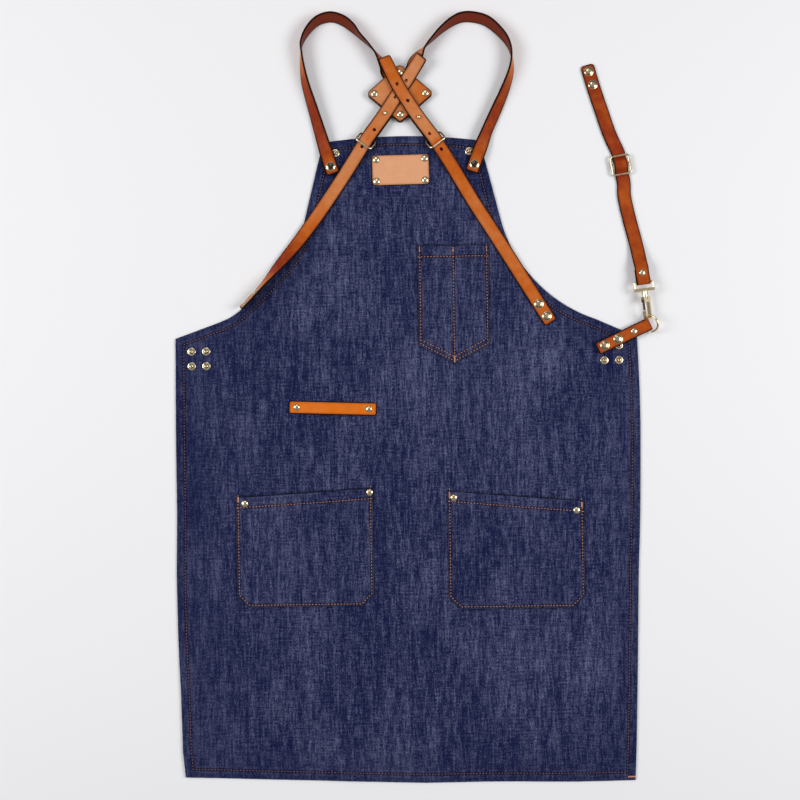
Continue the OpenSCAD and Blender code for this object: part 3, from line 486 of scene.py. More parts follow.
def hermite(values, knots, t):
    # smooth between stations without overshoot
    values, knots = np.asarray(values, float), np.asarray(knots, float)
    gaps = np.diff(knots)
    slopes = np.diff(values) / gaps
    m = np.zeros(len(values))
    for i in range(1, len(values) - 1):
        a, b = slopes[i - 1], slopes[i]
        m[i] = 0 if a * b <= 0 else 2 * a * b / (a + b)
    m[0], m[-1] = slopes[0], slopes[-1]
    i = np.clip(np.searchsorted(knots, t, side="right") - 1, 0, len(gaps) - 1)
    u = (t - knots[i]) / gaps[i]
    h = gaps[i]
    return ((2 * u ** 3 - 3 * u ** 2 + 1) * values[i] + (u ** 3 - 2 * u ** 2 + u) * h * m[i]
            + (-2 * u ** 3 + 3 * u ** 2) * values[i + 1] + (u ** 3 - u ** 2) * h * m[i + 1])


# the apron's cloth
panelCut = {"waistW": 600, "hemW": 586, "skirt": 574, "bibH": 252, "bibW": 204, "crown": 7, "armhole": 185,
            "waistSlope": 19, "bibSlope": 14, "cloth": 1.5, "hem": 11, "hemExtra": 0.7}
# how the cloth lies: rows of (place along the edge, how far it lies past the cut), smooth in between
panelLay = {"right": [(-574, -1.5), (-511, .2), (-400, 1.9), (-316, 2.9), (-235, 5.2), (-121, 5.8), (-56, 4),
                      (-6, 1.5)],
            "left": [(-574, 1), (-534, 2.9), (-469, 3.3), (-390, 5), (-307, 4.9), (-240, 2.4), (-144, 1.3),
                     (0, -1.8)],
            "hem": [(-293, -4.4), (-171, .5), (-54, 4.7), (24, 7.4), (102, 6.9), (219, 8.7), (291, 7.8)],
            "armhole": [(28, 0), (40, 3.5), (55, 6.5), (72, 6.5), (88, 3.5), (105, 1), (120, 0)]}


def eased(rows, count=16):
    along, values = zip(*rows)
    at = np.linspace(along[0], along[-1], count)
    return list(zip(at, hermite(values, along, at)))


def panelOutline():
    cut = panelCut
    a, b = math.radians(cut["waistSlope"]), math.radians(cut["bibSlope"])
    reach = (cut["waistW"] - cut["bibW"]) / 2
    run = (cut["bibH"] * math.cos(a) - reach * math.sin(a)) / math.cos(a + b)
    knee = np.array([cut["bibW"] / 2 + run * math.sin(b), cut["bibH"] - run * math.cos(b)])
    first, last = math.radians(270) - a, math.radians(180) + b
    touch = cut["armhole"] * math.tan((first - last) / 2)
    centre = knee - touch * np.array([-math.cos(a), math.sin(a)])
    centre += cut["armhole"] * np.array([math.sin(a), math.cos(a)])
    arm = []
    for k in range(25):
        angle = first + (last - first) * k / 24
        arm.append(centre + cut["armhole"] * np.array([math.cos(angle), math.sin(angle)]))
    shares = [1 - k / 8 for k in range(9)]
    top = [(share * cut["bibW"] / 2, cut["bibH"] + cut["crown"] * (1 - share ** 2)) for share in shares]

    def side(sign, rows):
        return [(sign * (np.interp(y, [-cut["skirt"], 0], [cut["hemW"] / 2, cut["waistW"] / 2]) + out), y)
                for y, out in eased(rows)[1:]]

    right = side(1, panelLay["right"]) + [tuple(p) for p in arm] + top
    left = [(-x, y) for x, y in reversed(top[:-1])]
    for x, y in reversed(arm):
        bulge = np.interp(y, *zip(*panelLay["armhole"]))
        left.append((-x - 0.66 * bulge, y + 0.75 * bulge))
    left += list(reversed(side(-1, panelLay["left"])))
    hem = [(x, -cut["skirt"] - low) for x, low in eased(panelLay["hem"])]
    points = np.array(hem + right + left)
    points[:, 0] -= 1.1 * smooth(points[:, 1], 60, 140)
    return points


def makePanel():
    cut = panelCut
    outline = panelOutline()

    def heights(place, edge):
        hem = 1 - smooth(edge, cut["hem"] + 1.2, cut["hem"] + 3)
        thick = cut["cloth"] - 0.15 + cut["hemExtra"] * hem
        seam = np.abs(edge - cut["hem"])
        thick = thick - 0.4 * np.exp(-(seam / 1.3) ** 2)
        pucker = np.sin(place[:, 0] * 0.62 + place[:, 1] * 0.55 + 2.2 * waves(place, 3, 60)) * hem * 0.13
        swell = 0.18 * waves(place, 11, 130) * smooth(edge, 10, 60)
        # free edges lift off the table a little here and there
        loose = smooth(waves(place, 21, 240), 0.1, 1.2) * (1 - smooth(edge, 0, 55))
        loose = loose * smooth(np.abs(place[:, 1] + 10), 50, 110) * (place[:, 1] < 200)
        lift = 2.2 * loose
        half = thick / 2
        full = roundOver(edge, 0.9)
        mid = 0.15 + half + lift
        return mid - half * full, mid + (half + pucker + np.maximum(swell, -0.2)) * full

    rings = [0.15, 0.45, 0.9, 2.4, 5, 8, 9.9, 11, 12.1, 13.6, 16]
    piece, place, edge, under = layShell("denimPanel", outline, rings, 3.2, 3.0, heights, denim)
    seams = np.abs(edge - cut["hem"])
    setFloat(piece, "seam", seams * mm)
    # painted shade: the cloth is darkened right beside a pocket's mouth and sides
    shade = np.zeros(len(place))
    for line, reach, depth in pocketShades():
        shade = np.maximum(shade, depth * (1 - smooth(distanceTo(place, line, closed=False), 0.4, reach)))
    setFloat(piece, "shade", shade)
    finishPiece(piece, "apron", ["apron_panel"])
    return piece, outline


pocketCut = {"cloth": 1.2, "hem": 13, "sideSeam": 2.6, "under": 1.5, "rise": 4.3}

# hand pockets: inner and outer side, mouth and its fall towards the outer side, bottom
handCut = {"corner": 15, "left": (-45.2, -222.3, 198, 9.6, 350), "right": (52.1, 229, 203, 15.6, 356)}
chestCut = {"x": 18, "width": 92, "top": 115, "side": 128, "point": 24, "hem": 13.5}
stitchPaths = []      # (pocket, stitch line)


def handLines(spec):
    inner, outer, mouth, fall, bottom = spec
    out = 1 if outer > 0 else -1
    c = handCut["corner"]
    corners = [[inner, -mouth], [inner, c - bottom], [inner + out * c, -bottom], [outer - out * c, -bottom],
               [outer, c - bottom], [outer, -mouth - fall]]
    return corners if out > 0 else corners[::-1]


def chestLines():
    cut = chestCut
    x0, x1, low = cut["x"], cut["x"] + cut["width"], cut["top"] - cut["side"]
    return [[x0, cut["top"]], [x0, low], [(x0 + x1) / 2, low - cut["point"]], [x1, low], [x1, cut["top"]]]


def pocketShades():
    # lines beside each pocket, and how far and how deep their painted shade reaches
    found = []
    for corners in (handLines(handCut["left"]), handLines(handCut["right"]), chestLines()):
        found.append(([corners[0], corners[-1]], 2.6, 0.95))
        found.append((corners, 2.2, 0.6))
    return found


def makePocket(name, outline, mouth, humps, lines, node, seed):
    # mouth: its two ends; humps: spans across the pocket that stand open; lines: stitch lines, as point lists
    cut = pocketCut
    mouth = np.asarray(mouth, float)
    outline = np.asarray(outline, float)
    depth = outline[:, 1].max() - outline[:, 1].min()

    def heights(place, edge):
        fromMouth = distanceTo(place, mouth, closed=False)
        down = np.clip(fromMouth / depth, 0, 1)
        stands = np.zeros(len(place))
        for left, right in humps:
            span = np.clip((place[:, 0] - left) / (right - left), 0, 1)
            stands = np.maximum(stands, np.sin(math.pi * span) ** 0.7)
        rise = cut["rise"] * stands * (1 - 0.80 * smooth(down, 0, 0.95))
        rise = rise * smooth(edge + 40 * (fromMouth < 16), 3, 26)
        rise = rise * (1 + 0.10 * waves(place, seed, 70))
        thick = cut["cloth"] + 0.5 * (1 - smooth(fromMouth, cut["hem"] + 1, cut["hem"] + 3))
        side = 1 - smooth(edge, 4, 7)
        thick = thick + 0.25 * side
        for line in lines:
            thick = thick - 0.35 * np.exp(-(distanceTo(place, line, closed=False) / 1.2) ** 2)
        pucker = 0.10 * np.sin(place[:, 0] * 0.9 - place[:, 1] * 0.8 + 2 * waves(place, seed + 1, 40)) * side
        half = thick / 2
        mid = cut["under"] + 0.04 + half + rise
        full = roundOver(edge, 0.7)
        return mid - half * full, mid + (half + pucker) * full

    rings = [0.12, 0.4, 0.8, 1.7, 2.6, 3.5, 5.5]
    piece, place, edge, under = layShell(name, outline, rings, 2.6, 3.2, heights, pocketDenim)
    seams = np.full(len(place), 99.0)
    for line in lines:
        seams = np.minimum(seams, distanceTo(place, line, closed=False))
    setFloat(piece, "seam", seams * mm)
    finishPiece(piece, "apron", [node])
    return piece


def makeHandPocket(name, spec, node, seed):
    corners = handLines(spec)
    inset = pocketCut["sideSeam"]
    seam = insetLine(corners, inset)
    seam[0][1], seam[-1][1] = corners[0][1] + 2.5, corners[-1][1] + 2.5
    ends = np.array([corners[0], corners[-1]])
    hemLine = ends + [0, -pocketCut["hem"]]
    hemLine[:, 0] += [1.6, -1.6]
    low, high = sorted(ends[:, 0])
    hem = pocketCut["hem"]
    piece = makePocket(name, corners, ends, [[low + hem, high - hem]], [seam, hemLine], node, seed)
    stitchPaths.extend([(name, seam), (name, hemLine)])
    return piece, corners


def makeChestPocket():
    corners = chestLines()
    (x0, top), (mid, tip), (x1, low) = corners[0], corners[2], corners[3]
    inset = pocketCut["sideSeam"]
    seam = insetLine(corners, inset)
    seam[0][1] = seam[-1][1] = top + 1
    second = insetLine(corners, inset + 5.2)[1:4]
    hemLine = np.array([[x0 + 1, top - chestCut["hem"]], [x1 - 1, top - chestCut["hem"]]])
    middle = np.array([[mid, top - 2], [mid, tip + inset + 2]])
    lines = [seam, second, hemLine, middle]
    humps = [[x0 + 3, mid - 1], [mid + 1, x1 - 3]]
    piece = makePocket("chestPocket", corners, [corners[0], corners[-1]], humps, lines, "chest_pocket", 61)
    stitchPaths.extend(("chestPocket", line) for line in lines)
    return piece, corners


handLeft, handLeftLine = makeHandPocket("handPocketLeft", handCut["left"], "hand_pocket_left", 41)
handRight, handRightLine = makeHandPocket("handPocketRight", handCut["right"], "hand_pocket_right", 51)
chest, chestLine = makeChestPocket()
panel, panelLine = makePanel()
print("pockets laid on")

# leather plates
# how far the dark rim reaches in: edge dye plus painted shade
plateLook = {"bevel": 0.55, "spacing": 3.0, "dyedAndShaded": 0.35, "crown": 0.12, "rings": [0.1, 0.28, 0.55, 1.1, 2.2]}


def makePlate(name, outline, low, thick, material, tone, turn=0.0):
    outline = np.asarray(outline, float)

    def heights(place, edge):
        shape = roundOver(edge, plateLook["bevel"])
        mid = low + thick / 2
        crown = plateLook["crown"] * (smooth(edge, 0.5, 6) - 1)
        return mid - thick / 2 * shape, mid + (thick / 2 + crown) * shape

    piece, place, edge, under = layShell(name, outline, plateLook["rings"], 1.6, plateLook["spacing"],
                                         heights, material)
    angle = math.radians(turn)
    along = place @ np.array([math.cos(angle), math.sin(angle)])
    across = place @ np.array([-math.sin(angle), math.cos(angle)])
    setVector(piece, "lay", np.column_stack([along, across, np.zeros(len(place))]) * mm)
    # the dark rim band reaches this far in: edge dye plus painted shade
    setFloat(piece, "edge", (edge - plateLook["dyedAndShaded"]) * mm)
    setFloat(piece, "under", under * (edge > plateLook["bevel"]))
    setFloat(piece, "tone", tone(place) if callable(tone) else np.full(len(place), tone))
    return piece


labelCut = {"at": (-2.5, 215), "size": (75, 40), "turn": 0.8, "corner": 5, "thick": 1.8, "rivetIn": 6}


def turned(points, at, degrees):
    angle = math.radians(degrees)
    c, s = math.cos(angle), math.sin(angle)
    return [[at[0] + c * x - s * y, at[1] + s * x + c * y] for x, y in points]


def makeLabel():
    w, h = labelCut["size"][0] / 2, labelCut["size"][1] / 2
    shape = rounded([[-w, -h], [w, -h], [w, h], [-w, h]], labelCut["corner"])
    outline = turned(shape, labelCut["at"], labelCut["turn"])
    piece = makePlate("labelPatch", outline, 1.5, labelCut["thick"], tanLeather, 0.8, labelCut["turn"])
    return finishPiece(piece, "apron", ["label_patch"])


makeLabel()

crossAt = np.array([-2.0, 313.0])
crossCut = {"w": 88, "h": 76, "corner": 5, "thick": 1.8, "rivetIn": 11}
stack = {"cloth": 1.5, "strap": 2.2, "lay": 0.1, "gap": 0.3}
strapLow = crossCut["thick"] + stack["lay"]
strapHigh = strapLow + stack["strap"] + stack["lay"]
crossTop = strapHigh + stack["strap"] + stack["lay"]
flapLow = crossTop + crossCut["thick"] + stack["lay"]
foldZ, foldR, foldD, turnD = 5.5, 3.7, 70, 46
flapZ = foldZ + foldR + 0.2
overPatch = flapLow + stack["strap"] + stack["lay"]
flatLift = stack["cloth"] + stack["gap"]
snapSeat = 5.3


def makeCrossPatches():
    w, h = crossCut["w"] / 2, crossCut["h"] / 2
    shape = rounded([[w, 0], [0, h], [-w, 0], [0, -h]], crossCut["corner"])
    outline = shape + crossAt
    back = makePlate("crossPatchBack", outline, 0, crossCut["thick"], strapLeather, 0.55, 45)
    finishPiece(back, "harness", ["cross_patch_back"])
    front = makePlate("crossPatchFront", outline, crossTop, crossCut["thick"], strapLeather,
                      lambda place: 0.68 - 0.004 * (place[:, 0] - crossAt[0]), 45)
    finishPiece(front, "harness", ["cross_patch_front"])


makeCrossPatches()
print("plates made")


# straps; a station is [x, y, height of its lowest point, roll, tone]; tone is the leather's colour with
# painted highlights laid in
def rounding(stations):
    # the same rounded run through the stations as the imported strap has
    p = [np.asarray(s[:2], float) for s in stations]
    xy = []
    knots = []
    for i in range(len(p) - 1):
        a, b, c, d = p[max(i - 1, 0)], p[i], p[i + 1], p[min(i + 2, len(p) - 1)]
        for k in range(12):
            t = k / 12
            xy.append((2 * b + (c - a) * t + (2 * a - 5 * b + 4 * c - d) * t * t
                       + (3 * b - a - 3 * c + d) * t ** 3) / 2)
            knots.append(i + t)
    xy.append(p[-1])
    knots.append(len(p) - 1)
    return np.array(xy), np.array(knots)


def runOf(stations, width, thick):
    # centre line, across vectors and tone of a strap laid through stations
    xy, knots = rounding(stations)
    order = range(len(stations))
    z = hermite([s[2] for s in stations], order, knots)
    roll = np.radians(hermite([s[3] for s in stations], order, knots))
    tone = hermite([s[4] for s in stations], order, knots)
    centre = np.column_stack([xy, z + width / 2 * np.abs(np.sin(roll)) + thick / 2 * np.abs(np.cos(roll))])
    heading = np.gradient(xy, axis=0)
    heading /= np.linalg.norm(heading, axis=1)[:, None]
    level = np.column_stack([-heading[:, 1], heading[:, 0], np.zeros(len(xy))])
    across = level * np.cos(roll)[:, None] + np.array([0, 0, 1.0]) * np.sin(roll)[:, None]
    return centre, across, tone


def joinRuns(*runs):
    return tuple(np.concatenate([run[k] for run in runs]) for k in range(3))


def planeRun(origin, heading, path, tone):
    # run in the upright plane through origin along heading; path: (distance, height) pairs
    heading = np.asarray(heading, float) / np.linalg.norm(heading)
    path = np.asarray(path, float)
    centre = np.column_stack([np.asarray(origin[:2]) + path[:, :1] * heading, path[:, 1]])
    across = np.tile([-heading[1], heading[0], 0.0], (len(path), 1))
    return centre, across, np.full(len(path), float(tone))


def arc(x, z, radius, first, last, steps=10):
    angles = [math.radians(first + (last - first) * k / steps) for k in range(steps + 1)]
    return [(x + radius * math.cos(angle), z + radius * math.sin(angle)) for angle in angles]


def makeStrap(name, run, width, thick, material, ends=(2.5, 2.5), dyedAndShaded=0.3, step=2.6, bevel=0.7):
    centre, across, tone = run
    length = np.concatenate([[0], np.cumsum(np.linalg.norm(np.diff(centre, axis=0), axis=1))])
    keep = np.concatenate([[True], np.diff(length) > 1e-6])
    centre, across, tone, length = centre[keep], across[keep], tone[keep], length[keep]
    total = length[-1]
    count = int(total / step)
    at = np.linspace(0, total, count)
    close = np.array([0.0, 0.12, 0.35, 0.8, 1.5])
    inner = at[(at > 2.2) & (at < total - 2.2)]
    at = np.unique(np.round(np.concatenate([close, inner, total - close[::-1]]), 4))
    centre, across = (np.column_stack([np.interp(at, length, values[:, k]) for k in range(3)])
                      for values in (centre, across))
    tone = np.interp(at, length, tone)
    ahead = np.gradient(centre, at, axis=0)
    ahead /= np.linalg.norm(ahead, axis=1)[:, None]
    across -= ahead * (across * ahead).sum(1)[:, None]
    across /= np.linalg.norm(across, axis=1)[:, None]
    through = np.cross(ahead, across)
    # section, from one rim over the grain side to the other rim and back along the flesh side
    half, low = width / 2, thick / 2
    rimArc = [(half - bevel + bevel * math.sin(math.radians(a)), (low - 0.05) * math.cos(math.radians(a)))
              for a in (0, 30, 60, 90, 120, 150, 180)]
    topRow = [(-half + bevel + (width - 2 * bevel) * k / 8, low + 0.14 * math.sin(math.pi * k / 8) - 0.05)
              for k in range(1, 8)]
    section = topRow + rimArc + [(a, -low) for a, b in reversed(topRow)] + [(-a, -b) for a, b in rimArc]
    section = np.array(section)
    rows = len(section)
    points, edges, unders, lays, tones = [], [], [], [], []
    for i, s in enumerate(at):
        fromEnd = [s, total - s]
        cutIn = 0.0
        thin = 1.0
        for k in (0, 1):
            r = ends[k]
            if fromEnd[k] < r:
                cutIn = max(cutIn, r - math.sqrt(max(r * r - (r - fromEnd[k]) ** 2, 0)))
            if fromEnd[k] < bevel:
                thin = min(thin, math.sqrt(max(1 - (1 - fromEnd[k] / bevel) ** 2, 0.02)))
        share = (half - cutIn) / half
        a, b = section[:, 0] * share, section[:, 1] * thin
        points.append(centre[i] + a[:, None] * across[i] + b[:, None] * through[i])
        side = half - cutIn - np.abs(a)
        side = np.where(np.abs(section[:, 1]) < low * 0.9, 0, side)
        edges.append(np.minimum(side, min(fromEnd)))
        unders.append((section[:, 1] < -low * 0.6).astype(float))
        lays.append(np.column_stack([np.full(rows, s), section[:, 0], section[:, 1] * 0.2]))
        tones.append(np.full(rows, tone[i]))
    points = np.concatenate(points)
    rings = len(at)
    faces = [(i * rows + k, i * rows + (k + 1) % rows, (i + 1) * rows + (k + 1) % rows, (i + 1) * rows + k)
             for i in range(rings - 1) for k in range(rows)]
    faces.append(tuple(reversed(range(rows))))
    faces.append(tuple((rings - 1) * rows + k for k in range(rows)))
    piece = addPiece(name, points, faces, material)
    # the rim band is widened inwards: edge dye plus painted shade
    setFloat(piece, "edge", (np.concatenate(edges) - dyedAndShaded) * mm)
    setFloat(piece, "under", np.concatenate(unders))
    setFloat(piece, "tone", np.concatenate(tones))
    setVector(piece, "lay", np.concatenate(lays) * mm)
    return piece


def punch(piece, holes):
    # round holes right through; each is (centre, direction, radius), and their walls count as rim, so they
    # take the dark rim colour as painted shade inside the hole
    cutters = []
    for centre, direction, radius in holes:
        direction = Vector(direction).normalized()
        u = direction.orthogonal().normalized()
        v = direction.cross(u)
        ring = [Vector(centre) + direction * h + (u * math.cos(a) + v * math.sin(a)) * radius
                for h in (-3.2, 3.2) for a in [2 * math.pi * k / 20 for k in range(20)]]
        faces = [tuple(reversed(range(20))), tuple(range(20, 40))]
        faces += [(k, (k + 1) % 20, 20 + (k + 1) % 20, 20 + k) for k in range(20)]
        cutters.append((ring, faces))
    points, faces = [], []
    for ring, some in cutters:
        faces += [tuple(i + len(points) for i in face) for face in some]
        points += [list(p) for p in ring]
    tool = addPiece("punchTool", points, faces, piece.data.materials[0])
    bpy.context.view_layer.update()
    modifier = piece.modifiers.new("punch", "BOOLEAN")
    modifier.operation = "DIFFERENCE"
    modifier.solver = "EXACT"
    modifier.object = tool
    bpy.context.view_layer.update()
    made = bpy.data.meshes.new_from_object(piece.evaluated_get(bpy.context.evaluated_depsgraph_get()))
    piece.modifiers.clear()
    old = piece.data
    piece.data = made
    bpy.data.meshes.remove(old)
    bpy.data.objects.remove(tool)
    piece.data.polygons.foreach_set("use_smooth", [True] * len(piece.data.polygons))
    place = np.array([v.co for v in piece.data.vertices]) / mm
    edge = np.array([e.value for e in piece.data.attributes["edge"].data]) / mm
    # hole walls get painted shade: edge goes to zero near each hole
    for centre, direction, radius in holes:
        away = np.linalg.norm(np.cross(place - centre, Vector(direction).normalized()), axis=1)
        near = np.abs((place - centre) @ np.array(Vector(direction).normalized())) < 3.2
        edge = np.where(near & (away < radius + 0.1), 0, edge)
    piece.data.attributes["edge"].data.foreach_set("value", (edge * mm).astype(np.float32))
    return piece


strapCut = {"width": 18, "thick": 2.2, "harnessAngle": 53.5, "buttonRight": 40, "buttonLeft": 33, "hole": 1.7,
            "pitch": 25.4, "snapX": 93, "snapY": 220}
lowerDir = np.array([math.cos(math.radians(strapCut["harnessAngle"])),
                     -math.sin(math.radians(strapCut["harnessAngle"]))])


def fromSnap(stations):
    return [[x - strapCut["snapX"], y + strapCut["snapY"], z, roll, tone] for x, y, z, roll, tone in stations]


def fromCross(stations, x0=crossAt[0]):
    return [[x + x0, y + crossAt[1], z, roll, tone] for x, y, z, roll, tone in stations]


def toFold(stations, x0=crossAt[0]):
    return [[x0 + d * lowerDir[0], crossAt[1] + d * lowerDir[1], z, 0, tone] for d, z, tone in stations]


def mirrored(run):
    centre, across, tone = run
    return centre * [-1, 1, 1], across * [1, -1, -1], tone


# tones rise to .75-.78 where the straps turn up on edge: painted highlight over the leather's own colour
shoulderLeft = (
    fromSnap([[3.6, -10, snapSeat, 0, .40], [0, 0, snapSeat, 0, .40], [-3.6, 12, snapSeat, 0, .34],
              [-9, 30, 2, -24, .27], [-21, 72, .4, -45, .25], [-31, 107, .3, -58, .32],
              [-34.7, 130, .2, -72, .55], [-35.7, 146, .2, -83, .78],
              [-35.5, 159, .2, -92, .6], [-27.5, 175, .2, -105, .5], [-14.5, 188, .2, -114, .5],
              [2, 193, .2, -120, .4], [17, 189, .2, -120, .35], [29.5, 180, .2, -114, .35]])
    + fromCross([[-51.4, 75.6, .2, -97, .3], [-39.5, 63.5, .3, -87, .35], [-29.5, 51.5, .6, -76, .3],
                 [-20.5, 37, 1.4, -44, .3], [-16.5, 29.5, strapLow, -12, .4], [-12, 22, strapLow, 0, .5],
                 [0, 0, strapLow, 0, .5]])
    + toFold([[31, strapLow, .5], [34, strapHigh, .5], [turnD + 2, strapHigh, .5]]))
shoulderRight = (
    fromSnap([[3.6, -10, snapSeat, 0, .42], [0, 0, snapSeat, 0, .44], [-4.6, 12, snapSeat, 0, .4],
              [-16.5, 42, 1.9, -36, .3], [-27.5, 66, .6, -40, .27], [-40, 93.6, .3, -51, .3],
              [-48.8, 119, .2, -66, .5], [-50.3, 139, .2, -84, .75], [-46.5, 154, .2, -98, .5],
              [-37.5, 168, .2, -110, .55], [-20, 184, .2, -119, .5], [-2, 190, .2, -121, .4],
              [14, 190, .2, -119, .35], [28, 183.5, .2, -112, .35]])
    + fromCross([[-54.5, 81, .2, -103, .3], [-45, 71.8, .2, -95, .35], [-33, 59.5, .4, -80, .65],
                 [-25, 48.5, .8, -44, .65], [-19, 39, 2.6, -16, .5], [-16, 29.5, strapHigh, -3, .5],
                 [0, 0, strapHigh, 0, .5]], -crossAt[0])
    + toFold([[34, strapHigh, .5], [turnD + 2, strapHigh, .5]], -crossAt[0]))


def turnedEnd(x0, buttonD):
    # over the loop's bar and back under, to just past the button stud
    half = strapCut["thick"] / 2
    top = [(turnD + 4, strapHigh + half), (56, strapHigh + half + 0.5), (64, foldZ + foldR - half - 0.3)]
    low = strapHigh - strapCut["thick"] - stack["lay"] + half
    bend = arc(foldD, foldZ, foldR - half, 90, -90)
    back = [(64, foldZ - foldR + half + 0.1), (56, low + 0.1), (turnD, low), (buttonD - 6, low)]
    origin = (x0, crossAt[1])
    return planeRun(origin, lowerDir, top + bend + back, 0.5)


def makeShoulders():
    run = joinRuns(runOf(shoulderLeft, strapCut["width"], strapCut["thick"]),
                   turnedEnd(crossAt[0], strapCut["buttonRight"]))
    # the shoulder straps get a wider dark rim: edge dye plus painted shade where they stand on edge
    left = makeStrap("shoulderStrapLeft", run, strapCut["width"], strapCut["thick"], strapLeather,
                     (4, 2.5), 0.7)
    finishPiece(left, "harness", ["shoulder_strap_left"])
    run = joinRuns(runOf(shoulderRight, strapCut["width"], strapCut["thick"]),
                   turnedEnd(-crossAt[0], strapCut["buttonLeft"]))
    right = makeStrap("shoulderStrapRight", mirrored(run), strapCut["width"], strapCut["thick"], strapLeather,
                      (4, 2.5), 0.7)
    finishPiece(right, "harness", ["shoulder_strap_right"])


makeShoulders()

buttonRight = crossAt + strapCut["buttonRight"] * lowerDir
buttonLeft = crossAt + strapCut["buttonLeft"] * lowerDir * [-1, 1]
foldRight = crossAt + foldD * lowerDir
foldLeft = crossAt + foldD * lowerDir * [-1, 1]
loopCut = {"len": 14, "tilt": 30, "wire": 1.3, "drawn": 1.4, "half": 11.8}
underBar = foldZ + loopCut["len"] * math.sin(math.radians(loopCut["tilt"])) - loopCut["wire"]
underBar -= 2 * stack["gap"] + stack["strap"]
barRun = loopCut["len"] * math.cos(math.radians(loopCut["tilt"]))
pastRight = np.array([8, -12.5]) / np.hypot(8, 12.5)
pastLeft = np.array([-8, -12]) / np.hypot(8, 12)
leftRoll = 68
cx, cy = crossAt
backRight = (
    [[cx - 20, cy + 46, overPatch - 1.6, -20, .5], [cx - 15.5, cy + 36, overPatch - .6, -10, .5],
     [cx - 2.3, cy + 9, overPatch + .4, 0, .55], [cx + 11, cy - 13, overPatch, 0, .64],
     [*buttonRight, flapZ, 0, .74], [*foldRight, flapZ, 0, .70],
     [*(foldRight + barRun * pastRight), underBar, 0, .48]]
    + [[foldRight[0] + x, foldRight[1] + y, z, 0, tone] for x, y, z, tone in
       [[22, -34, flapZ - 5.5, .47], [38, -61, flatLift + .4, .52], [54, -88, flatLift, .56],
        [86, -139, flatLift, .56], [118, -191, flatLift, .53], [150, -243, flatLift, .5]]])
# the left strap's free end pales to .7-.85: painted glare where it twists up
backLeft = (
    [[cx + 29, cy + 46, flapLow + 2.2, 27, .76], [cx + 23, cy + 37, flapLow + .5, 15, .77],
     [cx + 7.3, cy + 14, flapLow, 0, .77], [cx - 6.8, cy - 7, flapLow, 0, .74],
     [*buttonLeft, flapZ, 0, .68], [*foldLeft, flapZ, 0, .62],
     [*(foldLeft + barRun * pastLeft), underBar, 0, .72]]
    + [[foldLeft[0] + x, foldLeft[1] + y, z, roll, tone] for x, y, z, roll, tone in
       [[-22, -33, flapZ - 5.5, 0, .74], [-38, -57, flatLift + .4, 0, .72], [-62, -92, flatLift, 4, .6],
        [-92, -133, flatLift, 20, .4], [-118, -164, flatLift, 42, .22], [-143, -193, flatLift, leftRoll, .7],
        [-168, -219, flatLift, leftRoll, .85]]])


def makeBackStraps():
    pitch, r = strapCut["pitch"], strapCut["hole"]
    flapRight = buttonRight - (crossAt + [-2.3, 9])
    flapRight = flapRight / np.linalg.norm(flapRight)
    flapLeft = buttonLeft - (crossAt + [7.3, 14])
    flapLeft = flapLeft / np.linalg.norm(flapLeft)
    holes = [([*(buttonRight + k * pitch * flapRight), z], (0, 0, 1), r)
             for k, z in ((-2, overPatch + 1.5), (-1, overPatch + 1.3), (1, flapZ + 1.1))]
    holes.append(([*(foldRight + 20 * pastRight), underBar + 0.4], (0.1, -0.15, 1), r))
    width, thick = strapCut["width"], strapCut["thick"]
    right = makeStrap("backStrapRight", runOf(backRight, width, thick), width, thick, strapLeather, (3, 3.5))
    finishPiece(punch(right, holes), "harness", ["back_strap_right"])
    holes = [([*(buttonLeft + k * pitch * flapLeft), z], (0, 0, 1), r)
             for k, z in ((-2, flapLow + 1.1), (-1, flapLow + 1.1), (1, flapZ + 1.1))]
    holes.append(([*(foldLeft + 15 * pastLeft), underBar + 0.8], (-0.1, -0.12, 1), r))
    left = makeStrap("backStrapLeft", runOf(backLeft, width, thick), width, thick, strapLeather, (3, 3.5))
    finishPiece(punch(left, holes), "harness", ["back_strap_left"])


makeBackStraps()
print("harness straps made")

# tool loop, side tab, waist strap
toolCut = {"at": (-95, -93), "len": 114, "width": 17, "arch": 6, "turn": -2.2, "thick": 1.8, "flat": 15.8}


def makeToolLoop():
    cut = toolCut
    heading = (math.cos(math.radians(cut["turn"])), math.sin(math.radians(cut["turn"])))
    low = stack["cloth"] + cut["thick"] / 2
    path = []
    for k in range(61):
        d = cut["len"] * k / 60
        u = np.clip((d - cut["flat"]) / (cut["len"] - 2 * cut["flat"]), 0, 1)
        path.append((d - cut["len"] / 2, low + cut["arch"] * math.sin(math.pi * u) ** 2))
    run = planeRun(cut["at"], heading, path, 0.52)
    piece = makeStrap("toolLoop", run, cut["width"], cut["thick"], loopLeather, (2.6, 2.6))
    finishPiece(piece, "apron", ["tool_loop"])


makeToolLoop()

tabCut = {"pivot": (258.5, -17), "angle": 25, "len": 62, "width": 16.5, "back": 10.4, "turnBack": 30}
tabDir = np.array([math.cos(math.radians(tabCut["angle"])), math.sin(math.radians(tabCut["angle"]))])


def makeTab():
    half = stack["strap"] / 2
    top, low, ringZ = snapSeat + half, snapSeat - stack["lay"] - half, snapSeat - stack["lay"] / 2
    end = tabCut["len"]
    path = [(-tabCut["back"], top), (end - 10, top), (end - 4, top + 0.6)]
    path += arc(end, ringZ, foldR - half, 90, -90)
    path += [(end - 4, low - 0.6), (end - 10, low), (end - tabCut["turnBack"], low)]
    run = planeRun(tabCut["pivot"], tabDir, path, 0.37)
    piece = makeStrap("sideTab", run, tabCut["width"], stack["strap"], strapLeather, (2.2, 2))
    finishPiece(piece, "tab", ["side_tab"])


makeTab()

beltCut = {"floor": 0.2, "frame": 24, "rivetAt": 12, "snaps": (9, 27), "wire": 1.3, "hookTurn": 96.5,
           "buckleTurn": 100}


